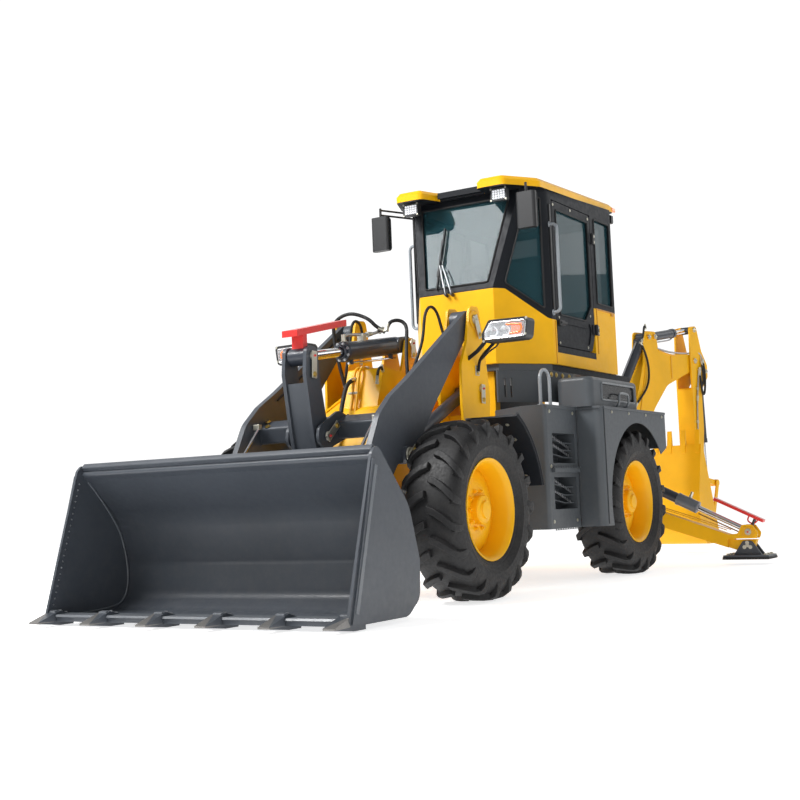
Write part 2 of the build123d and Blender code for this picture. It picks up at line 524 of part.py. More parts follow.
def door(side):
    """A left or right door leaf with its glass; the hinge is at its rear edge."""
    x0, x1 = DOOR_REAR_X + DOOR_GAP, DOOR_FRONT_X - DOOR_GAP
    z0, z1 = DOOR_LOW_Z + DOOR_GAP, DOOR_TOP_Z - DOOR_GAP
    leaf = plate_xz([(x0, z0 + 150), (x0 + 70, z0), (x1, z0), (x1, z1), (x0, z1)],
                    (CAB_SIDE_Y - DOOR_T, CAB_SIDE_Y), [60, 60, 30, 30, 30])
    hole = plate_xz([(x0 + 60, z0 + 380), (x0 + 190, z0 + 245), (x1 - 60, z0 + 245), (x1 - 60, z1 - 60),
                     (x0 + 60, z1 - 60)], (500, 700), [60, 60, 30, 30, 30])
    recess = plate_xz([(x0 + 70, z0 + 180), (x0 + 120, z0 + 50), (x1 - 50, z0 + 50), (x1 - 50, z0 + 190),
                       (x0 + 160, z0 + 190), (x0 + 110, z0 + 250)],
                      (CAB_SIDE_Y - 9, CAB_SIDE_Y + 5), [30, 40, 20, 20, 20, 20])
    leaf -= recess
    pane = box((x0, x1), (CAB_SIDE_Y - 20, CAB_SIDE_Y - 20 + GLASS_T), (z0, z1)) & hole
    leaf = leaf - hole
    hinges = None
    for hz in (DOOR_LOW_Z + 200, DOOR_TOP_Z - 200):
        knuckle = pin_z(DOOR_REAR_X - 6, CAB_SIDE_Y + 14, 11, (hz - 40, hz + 40)) \
            + box((DOOR_REAR_X - 6, x0 + 50), (CAB_SIDE_Y, CAB_SIDE_Y + 8), (hz - 40, hz + 40))
        hinges = knuckle if hinges is None else hinges + knuckle
    leaf = leaf + hinges
    if side < 0:
        return other(leaf), other(pane)
    return leaf, pane


for word, side in (("left", 1), ("right", -1)):
    nodes[f"door_{word}"], nodes[f"door_{word}_glass"] = door(side)

# ---------------------------------------------------------------- front frame
front_side = plate_xz(
    [(FRONT_START_X, 480), (2180, 480), (2290, FRAME_LOW), (2910, FRAME_LOW), (2960, 800), (2700, 1300),
     (2250, 1520), (1700, 1180), (FRONT_START_X, 1100)],
    (FRAME_Y - FRAME_T / 2, FRAME_Y + FRAME_T / 2), [0, 60, 60, 20, 30, 60, 60, 60, 0])
front_frame = both(front_side)
front_frame += box((FRONT_START_X, FRONT_START_X + 40), (-FRAME_Y, FRAME_Y), (480, 1100))
front_frame += box((2860, 2890), (-FRAME_Y, FRAME_Y), (750, 930))
front_frame += plate_xz([(2700, 1290), (2250, 1510), (2250, 1480), (2690, 1265), (2930, 830), (2955, 830)],
                        (-FRAME_Y, FRAME_Y))
NOSE_Y = 147.0            # half the width of the raised nose under the tilt cylinder
front_frame += plate_xz([(2060, 1450), (2120, 1560), (2540, 1595), (2655, 1285), (2740, 1100),
                         (2600, 1000), (2250, 1300)],
                        (-NOSE_Y, NOSE_Y), [0, 60, 25, 80, 0, 0, 0])
for level in HITCH_LEVELS:
    span = (level - HITCH_T / 2, level + HITCH_T / 2)
    lug = plate_xy([(FRONT_START_X + 10, -120), (FRONT_START_X + 10, 120), (PIVOT_X, HITCH_R),
                    (PIVOT_X, -HITCH_R)],
                   span) + pin_z(PIVOT_X, 0, HITCH_R, span)
    front_frame += lug - pin_z(PIVOT_X, 0, HITCH_PIN_R + 0.05, (span[0] - 5, span[1] + 5))

tower_out = [(1830, 1100), (2200, 1100), (2220, 1330), (2210, 1600), (2120, 1760), (2055, 2020),
             (1925, 2030),
             (1860, 1760), (1800, 1400)]
tower_round = [0, 30, 60, 80, 60, 40, 40, 80, 60]
lift_base = (1930.0, 1440.0)
for mid in (TOWER_OUT_Y, TOWER_IN_Y):
    front_frame += both(plate_xz(tower_out, (mid - TOWER_T / 2, mid + TOWER_T / 2), tower_round))
web = plate_xz([(1840, 1180), (2080, 1180), (2110, 1250), (1822, 1250)],
               (FRAME_Y, TOWER_OUT_Y + TOWER_T / 2))
front_frame += both(web)
front_frame += both(plate_xz([(1818, 1285), (1838, 1285), (1880, 1700), (1862, 1700)],
                             (TOWER_IN_Y, TOWER_OUT_Y)))
front_frame += both(box((1835, 1865), (FRAME_Y, TOWER_IN_Y), (1200, 1600)))
BOSS_R = 62.0
for mid in (TOWER_OUT_Y, TOWER_IN_Y):
    front_frame += both(pin_y(TOWER_X, TOWER_Z, BOSS_R, (mid - TOWER_T / 2 - 4, mid + TOWER_T / 2 + 4)))
front_frame += both(pin_y(TOWER_X, TOWER_Z, ARM_PIN_R, (TOWER_IN_Y, TOWER_OUT_Y)))
front_frame += both(pin_y(*lift_base, 30, (TOWER_IN_Y, TOWER_OUT_Y)))

# tilt cylinder bracket between the towers
TILT_BASE = (2070.0, 1800.0)
TILT_EYE_W = 132.0
cross = box((1880, 2060), (-TOWER_IN_Y, TOWER_IN_Y), (1500, 1560))
tilt_ear = plate_xz([(1930, 1540), (2250, 1480), (2130, 1830), (2020, 1850)],
                    (TILT_EYE_W / 2 + PIN_GAP, TILT_EYE_W / 2 + PIN_GAP + 20), [0, 40, 50, 50])
front_frame += cross + both(tilt_ear)
front_frame += pin_y(*TILT_BASE, 28, (-TILT_EYE_W / 2 - PIN_GAP - 5, TILT_EYE_W / 2 + PIN_GAP + 5))
front_frame += both(fork_z(*STEER_EYE, FRAME_Y, STEER_Z, STEER_EYE_W / 2 + PIN_GAP, 16, 38))
HEAD_IN_Y, HEAD_OUT_Y = 715.0, 1075.0
lamp_arm = rod((2100, TOWER_OUT_Y, 1640), (2100, 650, 1690), 14) + rod((2100, 650, 1690),
                                                                       (2100, 760, 1790), 14)
front_frame += both(lamp_arm - box((2000, 2200), (HEAD_IN_Y - SEAT, 900), (1600, 2000)))
nodes["front_frame"] = front_frame

head_line = [(HEAD_IN_Y, 1735), (HEAD_OUT_Y - 20, 1735), (HEAD_OUT_Y, 1885), (HEAD_IN_Y + 55, 1890),
             (HEAD_IN_Y, 1800)]
headlamp = plate_yz(head_line, (2040, 2150), [30, 40, 30, 30, 30])
head_recess = plate_yz([(HEAD_IN_Y + 22, 1756), (HEAD_OUT_Y - 38, 1756), (HEAD_OUT_Y - 22, 1864),
                        (HEAD_IN_Y + 66, 1868),
                        (HEAD_IN_Y + 22, 1806)], (2134, 2160), [16, 26, 18, 18, 18])
headlamp -= head_recess
for bulb_y in (HEAD_IN_Y + 80, HEAD_IN_Y + 175):
    headlamp += rod((2130, bulb_y, 1806), (2142, bulb_y, 1806), 36)
headlamp += plate_yz([(HEAD_IN_Y + 225, 1770), (HEAD_OUT_Y - 60, 1770), (HEAD_OUT_Y - 48, 1850),
                      (HEAD_IN_Y + 225, 1850)],
                     (2130, 2143), 12)
nodes["headlamps"] = both(headlamp)

FENDER_R = 700.0
FF_IN, FF_OUT = 615.0, 1010.0
FENDER_T = 15.0
FENDER_STEPS = (12, 22, 32, 42, 52, 61)      # degrees above the axle, behind the wheel
mud_low = [(WHEELBASE - FENDER_R * cos(radians(a)),
            AXLE_Z + FENDER_R * sin(radians(a))) for a in FENDER_STEPS]
mud_high = [(WHEELBASE - (FENDER_R + FENDER_T) * cos(radians(a)),
             AXLE_Z + (FENDER_R + FENDER_T) * sin(radians(a)))
            for a in reversed(FENDER_STEPS)]
mud = plate_xz(mud_low + mud_high, (FF_IN, FF_OUT))
mud += box((2150, 2190), (TOWER_OUT_Y + TOWER_T / 2 + SEAT, FF_IN + 5), (1120, 1165))
nodes["front_fenders"] = both(mud)

# ---------------------------------------------------------------- loader linkage
TOWER_PIN = (TOWER_X, TOWER_Z)
BUCKET_PIN = (BUCKET_PIN_X, BUCKET_PIN_Z)
LIFT_PIN = (2950.0, 960.0)
ROCKER_PIN = (3230.0, 1100.0)
ROCKER_TOP = (3310.0, 1615.0)
ROCKER_FOOT = (3104.0, 526.0)
LINK_PIN = (3745.0, 473.0)

arm_y = (ARM_Y - ARM_T / 2, ARM_Y + ARM_T / 2)
arm_line = [(1935, 1930), (1990, 1998), (2050, 1990), (2900, 1450), (3100, 1335), (3250, 1210), (3420, 900),
            (3690, 300), (3650, 205), (3560, 215), (3300, 620), (3050, 900), (2870, 930), (2560, 1290),
            (2040, 1830)]
arm = plate_xz(arm_line, arm_y, [30, 30, 60, 300, 150, 200, 200, 60, 60, 50, 200, 40, 50, 60, 60])
arm += pin_y(*TOWER_PIN, 68, (TOWER_IN_Y + TOWER_T / 2 + PIN_GAP + 4,
                              TOWER_OUT_Y - TOWER_T / 2 - PIN_GAP - 4))
arm -= pin_y(*TOWER_PIN, ARM_PIN_R + 0.05, (0, 700))
arm += pin_y(*BUCKET_PIN, 62, (ARM_Y - 50, ARM_Y + 50))
arm += pin_y(*LIFT_PIN, 58, (ARM_Y - ARM_T / 2 - 6, ARM_Y + ARM_T / 2 + 30))
lift_arm = both(arm)
cross_box = plate_xz([(2950, 1110), (3090, 1080), (3120, 1190), (2990, 1250)], (-ARM_Y, ARM_Y),
                     [20, 20, 20, 20])
EAR_Y = 110.0
ear_out = plate_xz([(2900, 1130), (3230, 1010), (3330, 1060), (3310, 1160), (3090, 1270), (2980, 1240)],
                   (EAR_Y, EAR_Y + 22), [40, 70, 60, 60, 60, 20])
lift_arm += cross_box + both(ear_out)
lift_arm += pin_y(*ROCKER_PIN, 34, (-EAR_Y - 30, EAR_Y + 30))
nodes["lift_arm"] = lift_arm

ROCKER_Y = 70.0
cheek = plate_xz([(3250, 1680), (3370, 1680), (3390, 1500), (3320, 1080), (3165, 520), (3104, 465),
                  (3045, 520),
                  (3150, 1090), (3240, 1500)], (ROCKER_Y, ROCKER_Y + 26),
                  [50, 50, 60, 200, 50, 50, 50, 90, 60])
rocker = both(cheek) + pin_y(*ROCKER_PIN, 60, (-ROCKER_Y - 5, ROCKER_Y + 5))
rocker += plate_xz([(3368, 1440), (3340, 1440), (3278, 1090), (3215, 820), (3185, 720), (3212, 720),
                    (3242, 820), (3306, 1090)],
                   (-ROCKER_Y - 5, ROCKER_Y + 5))
rocker += both(pin_y(*ROCKER_PIN, 60, (ROCKER_Y, EAR_Y - PIN_GAP)))
rocker -= pin_y(*ROCKER_PIN, 34.05, (-200, 200))
rocker += both(pin_y(*ROCKER_FOOT, 44, (32 + PIN_GAP, ROCKER_Y + 1)))
nodes["rocker"] = rocker

link = bar(ROCKER_FOOT, LINK_PIN, 32, (-32, 32), 44)
link -= pin_y(*LINK_PIN, 26.05, (-100, 100))
nodes["bucket_link"] = link

tilt_barrel, tilt_rod = cylinder_pair(TILT_BASE, ROCKER_TOP, 0.0, 55, 32, 760, 2 * (ROCKER_Y - PIN_GAP), 58,
                                      base_w=TILT_EYE_W, room=130)
tilt_barrel -= pin_y(*TILT_BASE, 28.05, (-100, 100))
tilt_rod += plate_xz([(3420, 1735), (3420, 1778), (2850, 1900), (2850, 1857)], (-60, 60)) \
    + box((3292, 3336), (-45, 45), (1640, 1770))
nodes["tilt_cylinder_barrel"] = tilt_barrel
nodes["tilt_cylinder_rod"] = tilt_rod

lift_barrel, lift_rod = cylinder_pair(lift_base, LIFT_PIN, LIFT_CYL_Y, 36, 26, 850, 78, 48, room=655)
lift_barrel -= pin_y(*lift_base, 30.05, (300, 700))
nodes["lift_cylinder_barrels"] = both(lift_barrel)
nodes["lift_cylinder_rods"] = both(lift_rod)

# ---------------------------------------------------------------- loader bucket
half_w = BUCKET_W / 2
BOWL = [(4470, 62), (4470, 30), (3900, 30), (3770, 120), (3755, 330), (3850, 640), (4120, 905), (4160, 940),
        (4185, 905), (4135, 870), (3868, 625), (3773, 330), (3788, 130), (3906, 48), (4330, 48)]
bowl = plate_xz(BOWL, (-half_w + BUCKET_WALL, half_w - BUCKET_WALL),
                [0, 0, 120, 90, 100, 300, 20, 18, 18, 20, 280, 90, 80, 110, 0])
cheek_line = [(4470, 30), (3900, 30), (3770, 120), (3755, 330), (3850, 640), (4120, 940), (4165, 975),
              (4215, 930),
              (4490, 60)]
side = plate_xz(cheek_line, (half_w - BUCKET_WALL - 1, half_w), [0, 120, 90, 100, 300, 60, 40, 40, 10])
strip = plate_xz([(4470, 40), (4220, 900), (4150, 880), (4330, 40)], (half_w - 1, half_w + 10))
bucket = bowl + both(side + strip)
pitch = (BUCKET_W - 50) / (TOOTH_N - 1)
for i in range(TOOTH_N):
    ty = -half_w + 25 + i * pitch
    y0 = min(max(ty - 38, -half_w + 2), half_w - 78)
    bucket += plate_xz([(4330, 62), (4440, 92), (TOOTH_TIP_X, 36), (TOOTH_TIP_X, 26), (4440, 6), (4330, 6)],
                       (y0, y0 + 76)) - box((4300, 4471), (-1200, 1200), (30.5, 61.5))
ear_line = [(3620, 340), (3770, 560), (3850, 636), (3770, 110), (3660, 205), (3600, 215), (3565, 270)]
inside = plate_xz([(4135, 870), (3868, 625), (3773, 330), (3788, 130), (3906, 48), (4330, 48), (4600, 400)],
                  (-half_w + BUCKET_WALL, half_w - BUCKET_WALL), [0, 280, 90, 80, 110, 0, 0])
for off in (-50 - PIN_GAP - 20, 50 + PIN_GAP):
    bucket += both(plate_xz(ear_line, (ARM_Y + off, ARM_Y + off + 20), [40, 40, 0, 0, 30, 30, 30]) - inside)
bucket += both(pin_y(*BUCKET_PIN, BUCKET_PIN_R, (ARM_Y - 88, ARM_Y + 88)))
for off in (32 + PIN_GAP, -32 - PIN_GAP - 20):
    bucket += plate_xz([(3700, 520), (3858, 632), (3771, 345), (3700, 430)], (off, off + 20),
                       [40, 0, 0, 40]) - inside
bucket += pin_y(*LINK_PIN, 26, (-32 - PIN_GAP - 1, 32 + PIN_GAP + 1))
nodes["loader_bucket"] = bucket
lift_arm = nodes["lift_arm"] - both(pin_y(*BUCKET_PIN, BUCKET_PIN_R + 0.05, (300, 700)))
nodes["lift_arm"] = lift_arm


# ---------------------------------------------------------------- steering cylinders
STEER_PIN_R = 16.0
steer_pin_z = (STEER_Z - STEER_EYE_W / 2 - PIN_GAP - 1, STEER_Z + STEER_EYE_W / 2 + PIN_GAP + 1)
nodes["rear_frame"] += pin_z(*STEER_BASE, STEER_PIN_R, steer_pin_z) \
    + pin_z(STEER_BASE[0], -STEER_BASE[1], STEER_PIN_R, steer_pin_z)


def steering(side):
    base, eye = (STEER_BASE[0], side * STEER_BASE[1]), (STEER_EYE[0], side * STEER_EYE[1])
    run = hypot(eye[0] - base[0], eye[1] - base[1])
    at = lambda d: (base[0] + (eye[0] - base[0]) * d / run, base[1] + (eye[1] - base[1]) * d / run, STEER_Z)
    span = (STEER_Z - STEER_EYE_W / 2, STEER_Z + STEER_EYE_W / 2)
    barrel = rod(at(62), at(560), 34) + rod(at(20), at(70), 20) + pin_z(*base, 34, span)
    barrel -= pin_z(*base, STEER_PIN_R + 0.05, (STEER_Z - 100, STEER_Z + 100))
    barrel -= rod(at(85), at(530), 28)
    barrel -= rod(at(525), at(570), 18.3)
    shaft = rod(at(300), at(run - 20), 18) + rod(at(290), at(320), 27.5) + pin_z(*eye, 34, span)
    return barrel, shaft


for word, side in (("left", 1), ("right", -1)):
    nodes[f"steering_barrel_{word}"], nodes[f"steering_rod_{word}"] = steering(side)

# ---------------------------------------------------------------- stabilizers
LEG_W = 120.0
BARREL_BASE = (430.0, 812.0)       # (y, z) of the cylinder's pin on the beam
EYE_PIN = (1515.0, 282.0)


def stabilizer(side):
    """Leg, cylinder barrel, rod with its guard, and foot pad, on the left."""
    x = (LEG_X - LEG_W / 2, LEG_X + LEG_W / 2)
    leg = plate_yz([(LEG_PIN_Y - 60, LEG_PIN_Z + 10), (LEG_PIN_Y + 10, LEG_PIN_Z + 66), (1340, 262),
                    (1420, 268),
                    (1460, 345), (1550, 345), (1600, 270), (1540, 110), (1440, 112),
                    (LEG_PIN_Y - 10, LEG_PIN_Z - 72)],
                   x, [30, 40, 60, 30, 30, 30, 40, 30, 40, 40])
    leg -= box((LEG_X - 38, LEG_X + 38), (1380, 1700), (215, 600))
    leg -= box((x[0] - 5, x[0] + 28), (1330, 1700), (0, 225)) + box((x[1] - 28, x[1] + 5), (1330, 1700),
                                                                    (0, 225))
    base, eye = BARREL_BASE, EYE_PIN
    run = hypot(eye[0] - base[0], eye[1] - base[1])
    at = lambda d: (LEG_X, base[0] + (eye[0] - base[0]) * d / run, base[1] + (eye[1] - base[1]) * d / run)
    barrel = rod(at(30), at(700), 46) + rod(at(500), at(700), 54) + rod((LEG_X - 30, *base),
                                                                        (LEG_X + 30, *base), 44)
    barrel -= rod(at(80), at(665), 39)
    barrel -= rod(at(640), at(710), 25.3)
    shaft = rod(at(615), at(run - 20), 25) + rod(at(600), at(630), 38.5) + rod((LEG_X - 30, *eye),
                                                                               (LEG_X + 30, *eye), 42)
    nrm = ((eye[1] - base[1]) / run, -(eye[0] - base[0]) / run)
    g0, g1 = at(run - 400), at(run + 75)
    up = 122.0
    guard = plate_yz([(g0[1] - nrm[0] * up, g0[2] - nrm[1] * up),
                      (g1[1] - nrm[0] * up, g1[2] - nrm[1] * up),
                      (g1[1] - nrm[0] * (up + 26), g1[2] - nrm[1] * (up + 26)),
                      (g0[1] - nrm[0] * (up + 26), g0[2] - nrm[1] * (up + 26))], (LEG_X - 34, LEG_X + 34))
    s0 = at(run - 4)
    guard += rod(s0, (LEG_X, s0[1] - nrm[0] * (up + 2), s0[2] - nrm[1] * (up + 2)), 13)
    shaft += guard
    foot = box((LEG_X - 130, LEG_X + 130), (FOOT_PIN_Y - 200, FOOT_PIN_Y + 200),
               (PAD_LOW_Z, PAD_LOW_Z + 38))
    for fx in (x[0], x[1] - 22):
        foot += plate_yz([(FOOT_PIN_Y - 130, PAD_LOW_Z + 30), (FOOT_PIN_Y + 130, PAD_LOW_Z + 30),
                          (FOOT_PIN_Y + 40, 205),
                          (FOOT_PIN_Y - 40, 205)], (fx, fx + 22), [0, 0, 36, 36])
    foot += rod((x[0], FOOT_PIN_Y, FOOT_PIN_Z), (x[1], FOOT_PIN_Y, FOOT_PIN_Z), 22)
    leg -= rod((x[0] - 10, FOOT_PIN_Y, FOOT_PIN_Z), (x[1] + 10, FOOT_PIN_Y, FOOT_PIN_Z), 22.05)
    parts = [leg, barrel, shaft, foot]
    return parts if side > 0 else [other(p) for p in parts]


for word, side in (("left", 1), ("right", -1)):
    leg, barrel, shaft, foot = stabilizer(side)
    nodes[f"stabilizer_leg_{word}"] = leg
    nodes[f"stabilizer_barrel_{word}"] = barrel
    nodes[f"stabilizer_rod_{word}"] = shaft
    nodes[f"stabilizer_foot_{word}"] = foot
pins = None
for sign in (-1, 1):
    for y, z, r in ((LEG_PIN_Y, LEG_PIN_Z, 30), (BARREL_BASE[0], BARREL_BASE[1], 22)):
        p = rod((LEG_BOX_X[0] + 5, sign * y, z), (LEG_BOX_X[1] - 5, sign * y, z), r)
        pins = p if pins is None else pins + p
nodes["rear_frame"] = nodes["rear_frame"] + pins
for word, sign in (("left", 1), ("right", -1)):
    nodes[f"stabilizer_leg_{word}"] -= rod((LEG_X - 200, sign * LEG_PIN_Y, LEG_PIN_Z),
                                           (LEG_X + 200, sign * LEG_PIN_Y, LEG_PIN_Z), 30.05)
    nodes[f"stabilizer_barrel_{word}"] -= rod((LEG_X - 200, sign * BARREL_BASE[0], BARREL_BASE[1]),
                                              (LEG_X + 200, sign * BARREL_BASE[0], BARREL_BASE[1]), 22.05)


# ---------------------------------------------------------------- backhoe
# It is drawn pointing straight back: reach d is measured rearwards from the slewing axis.
def dz(reach, height):
    return (BACKHOE_X - reach, height)


BOOM_PIN = dz(420, 800)
POST_TOP = dz(230, 1390)
BOOM_EAR = dz(960, 2250)
DIPPER_BASE = dz(1090, 2262)
BOOM_TIP = dz(1930, 2060)
DIPPER_TOP = dz(1960, 2400)
DIPPER_END = dz(1930, 450)
CROWD_BASE = dz(2185, 1960)
IDLER_PIN = dz(1949, 779)
IDLER_END = dz(2243, 736)
TIP_PIN = dz(2091, 340)

POST_Y = 110.0
BOOM_Y = 70.0
EAR_GAP = EAR_T / 2 + PIN_GAP
post_low, post_high = SLEW_LEVELS[0] + EAR_GAP, SLEW_LEVELS[1] - EAR_GAP
post = plate_xz([dz(-95, post_low), dz(95, post_low), dz(480, 700), dz(480, 870), dz(330, 1000),
                 dz(112, 1000),
                 dz(112, post_high), dz(-95, post_high)], (-POST_Y, POST_Y), [0, 0, 60, 60, 60, 0, 0, 0])
mast = plate_xz([dz(112, 900), dz(330, 900), dz(290, 1440), dz(170, 1440), dz(112, 1100)], (-80, 80),
                [0, 0, 55, 55, 0])
post += mast
post -= plate_xz([dz(130, 500), dz(700, 500), dz(700, 960), dz(160, 1000)],
                 (-BOOM_Y - PIN_GAP, BOOM_Y + PIN_GAP))
post -= plate_xz([dz(60, 1180), dz(600, 1000), dz(600, 1500), dz(60, 1500)], (-52, 52))
post += pin_z(BACKHOE_X, 0, 40, (SLEW_LEVELS[0] - EAR_T / 2 - 15, SLEW_LEVELS[1] + EAR_T / 2 + 15))
post += pin_y(*BOOM_PIN, 32, (-POST_Y - 2, POST_Y + 2))
nodes["rear_frame"] = nodes["rear_frame"] - pin_z(BACKHOE_X, 0, 40.05, (400, 1100))
nodes["swing_post"] = post

boom_line = [dz(360, 740), dz(480, 730), dz(780, 1060), dz(1010, 1500), dz(1330, 1770), dz(1800, 1920),
             dz(2000, 1975),
             dz(2010, 2110), dz(1900, 2130), dz(1380, 2100), dz(1170, 2135), dz(1130, 2320), dz(890, 2310),
             dz(845, 2000),
             dz(645, 1560), dz(350, 860)]
boom = plate_xz(boom_line, (-BOOM_Y, BOOM_Y), [50, 50, 250, 300, 250, 60, 50, 50, 50, 200, 50, 50, 50, 200,
                                               200, 60])
channel = plate_xz([dz(400, 1700), dz(560, 1560), dz(900, 1990), dz(1060, 2170), dz(1250, 2196),
                    dz(1250, 2500), dz(700, 2500)],
                   (-56, 56))
boom -= channel
boom -= plate_xz([dz(1040, 2130), dz(1500, 2090), dz(1830, 2100), dz(1830, 2300), dz(1040, 2300)],
                 (-56, 56))
boom += pin_y(*BOOM_PIN, 60, (-BOOM_Y, BOOM_Y))
boom -= pin_y(*BOOM_PIN, 32.05, (-200, 200))
boom += pin_y(*BOOM_TIP, 30, (-BOOM_Y - 30, BOOM_Y + 30))
boom += pin_y(*BOOM_EAR, 24, (-BOOM_Y - 14, BOOM_Y + 14)) + pin_y(*DIPPER_BASE, 24,
                                                                  (-BOOM_Y - 14, BOOM_Y + 14))
nodes["boom"] = boom

boom_barrel, boom_rod = cylinder_pair(BOOM_EAR, POST_TOP, 0.0, 40, 26, 850, 84, 46, base_w=96, room=650)
nodes["boom_cylinder_barrel"] = boom_barrel - pin_y(*BOOM_EAR, 24.05, (-100, 100))
nodes["boom_cylinder_rod"] = boom_rod
dip_barrel, dip_rod = cylinder_pair(DIPPER_BASE, DIPPER_TOP, 0.0, 38, 24, 560, 80, 40, base_w=96, room=92)
nodes["dipper_cylinder_barrel"] = dip_barrel - pin_y(*DIPPER_BASE, 24.05, (-100, 100))
nodes["dipper_cylinder_rod"] = dip_rod

# the dipper's side plates straddle the boom's tip
DIP_IN = BOOM_Y + PIN_GAP + 2
DIP_T = 16.0
DIP_Y = DIP_IN + DIP_T
cheek = plate_xz([dz(1860, 2420), dz(2010, 2450), dz(2110, 2180), dz(2232, 2030), dz(2232, 1900),
                  dz(2070, 1750),
                  dz(2060, 1600), dz(1850, 1600), dz(1850, 2200)], (DIP_IN, DIP_Y),
                  [50, 50, 80, 50, 50, 60, 0, 0, 60])
stick = plate_xz([dz(1850, 1770), dz(1850, 560), dz(1868, 385), dz(1985, 385), dz(1985, 760),
                  dz(2070, 1330),
                  dz(2070, 1770)], (-DIP_Y, DIP_Y), [30, 60, 55, 55, 100, 200, 30])
dipper = both(cheek) + stick
dipper += both(pin_y(*DIPPER_TOP, 42, (40 + PIN_GAP, DIP_IN + 1))) + both(pin_y(*CROWD_BASE, 40,
                                                                                (30 + PIN_GAP, DIP_IN + 1)))
dipper += pin_y(*CROWD_BASE, 22, (-DIP_Y, DIP_Y)) + pin_y(*IDLER_PIN, 22, (-DIP_Y - 26, DIP_Y + 26))
dipper += pin_y(*DIPPER_END, 26, (-DIP_Y - 26, DIP_Y + 26))
nodes["dipper"] = dipper - pin_y(*BOOM_TIP, 30.05, (-200, 200))

bk_barrel, bk_rod = cylinder_pair(CROWD_BASE, IDLER_END, 0.0, 34, 22, 780, 60, 36)
nodes["crowd_cylinder_barrel"] = bk_barrel - pin_y(*CROWD_BASE, 22.05, (-100, 100))
nodes["crowd_cylinder_rod"] = bk_rod

LINK_1 = (DIP_Y + PIN_GAP, DIP_Y + PIN_GAP + 16)
LINK_2 = (LINK_1[1] + PIN_GAP, LINK_1[1] + PIN_GAP + 16)
idler = bar(IDLER_PIN, IDLER_END, 28, LINK_1, 38) - pin_y(*IDLER_PIN, 22.05, (0, 300))
idler += pin_y(*IDLER_END, 36, (30 + PIN_GAP, LINK_1[1]))
nodes["idler_links"] = both(idler)
nodes["tipping_link"] = both(bar(IDLER_END, TIP_PIN, 28, LINK_2, 36) - pin_y(*TIP_PIN, 22.05, (0, 300)))

shell_line = [dz(1612, 1140), dz(1590, 1145), dz(1490, 640), dz(1480, 240), dz(1600, 100), dz(1780, 100),
              dz(1915, 190),
              dz(1905, 205), dz(1775, 118), dz(1608, 118), dz(1498, 247), dz(1508, 640)]
DIG_W = 560.0
dig = plate_xz(shell_line, (-DIG_W / 2, DIG_W / 2), [0, 0, 300, 150, 100, 80, 0, 0, 62, 82, 132, 282])
dig_side = plate_xz([dz(1640, 1110), dz(1590, 1145), dz(1490, 640), dz(1480, 240), dz(1600, 100),
                     dz(1780, 100),
                     dz(1915, 190)], (DIG_W / 2 - 12, DIG_W / 2), [30, 0, 300, 150, 100, 80, 0])
dig += both(dig_side)
dig_ear = plate_xz([dz(1885, 505), dz(1970, 505), dz(2140, 375), dz(2140, 310), dz(1910, 178),
                    dz(1780, 109),
                    dz(1770, 140), dz(1860, 300)], LINK_1, [50, 50, 40, 40, 0, 0, 0, 80])
dig += both(dig_ear) + both(pin_y(*TIP_PIN, 22, (LINK_1[0], LINK_2[1] + 4)))
TINE_N = 4
for i in range(TINE_N):
    ty = -DIG_W / 2 + 40 + i * (DIG_W - 80) / (TINE_N - 1)
    dig += plate_xz([dz(1615, 1050), dz(1565, 1060), dz(1598, 1300), dz(1606, 1300)], (ty - 26, ty + 26))
nodes["digging_bucket"] = dig - both(pin_y(*DIPPER_END, 26.05, (0, 300)))

SLEWED = ("swing_post", "boom", "boom_cylinder_barrel", "boom_cylinder_rod", "dipper_cylinder_barrel",
          "dipper_cylinder_rod", "dipper", "crowd_cylinder_barrel", "crowd_cylinder_rod", "idler_links",
          "tipping_link", "digging_bucket")
slew_turn = Pos(BACKHOE_X, 0, 0) * Rot(0, 0, -REST_SLEW) * Pos(-BACKHOE_X, 0, 0)
for name in SLEWED:
    nodes[name] = slew_turn * nodes[name]

# ---------------------------------------------------------------- origin and files
boxes = [solid.bounding_box() for solid in nodes.values()]
X_MID = (max(b.max.X for b in boxes) + min(b.min.X for b in boxes)) / 2

os.makedirs("parts", exist_ok=True)
for name, solid in nodes.items():
    export_step(Pos(-X_MID, 0, 0) * solid, f"parts/{name}.step")
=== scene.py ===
"""Looks of an articulated backhoe loader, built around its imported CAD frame."""
import math

import bmesh
import bpy
from mathutils import Matrix, Vector


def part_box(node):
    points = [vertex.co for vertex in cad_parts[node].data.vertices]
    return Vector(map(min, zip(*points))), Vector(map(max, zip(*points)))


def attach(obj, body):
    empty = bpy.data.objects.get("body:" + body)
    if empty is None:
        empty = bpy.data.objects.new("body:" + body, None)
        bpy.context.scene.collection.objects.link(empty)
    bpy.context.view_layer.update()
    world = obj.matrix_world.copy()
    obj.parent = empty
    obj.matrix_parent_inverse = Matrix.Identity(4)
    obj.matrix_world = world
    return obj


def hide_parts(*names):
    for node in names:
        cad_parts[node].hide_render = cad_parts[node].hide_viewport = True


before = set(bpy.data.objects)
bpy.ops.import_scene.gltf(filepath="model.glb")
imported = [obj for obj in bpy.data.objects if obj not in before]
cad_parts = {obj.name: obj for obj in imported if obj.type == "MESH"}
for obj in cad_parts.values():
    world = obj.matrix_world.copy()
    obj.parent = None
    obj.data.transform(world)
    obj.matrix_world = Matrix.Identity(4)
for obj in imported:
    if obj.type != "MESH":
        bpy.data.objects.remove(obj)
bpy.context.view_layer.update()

# ------------ places, from the frame
low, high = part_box("tyre_rear_left")
AXLE = (low + high) / 2               # the rear left wheel's centre; its Y is half the track
TYRE_R = (high.z - low.z) / 2
low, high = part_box("tyre_front_left")
FRONT_X = (low.x + high.x) / 2
SIDES = ((1, "left"), (-1, "right"))
ENDS = ((-1, "rear"), (1, "front"))

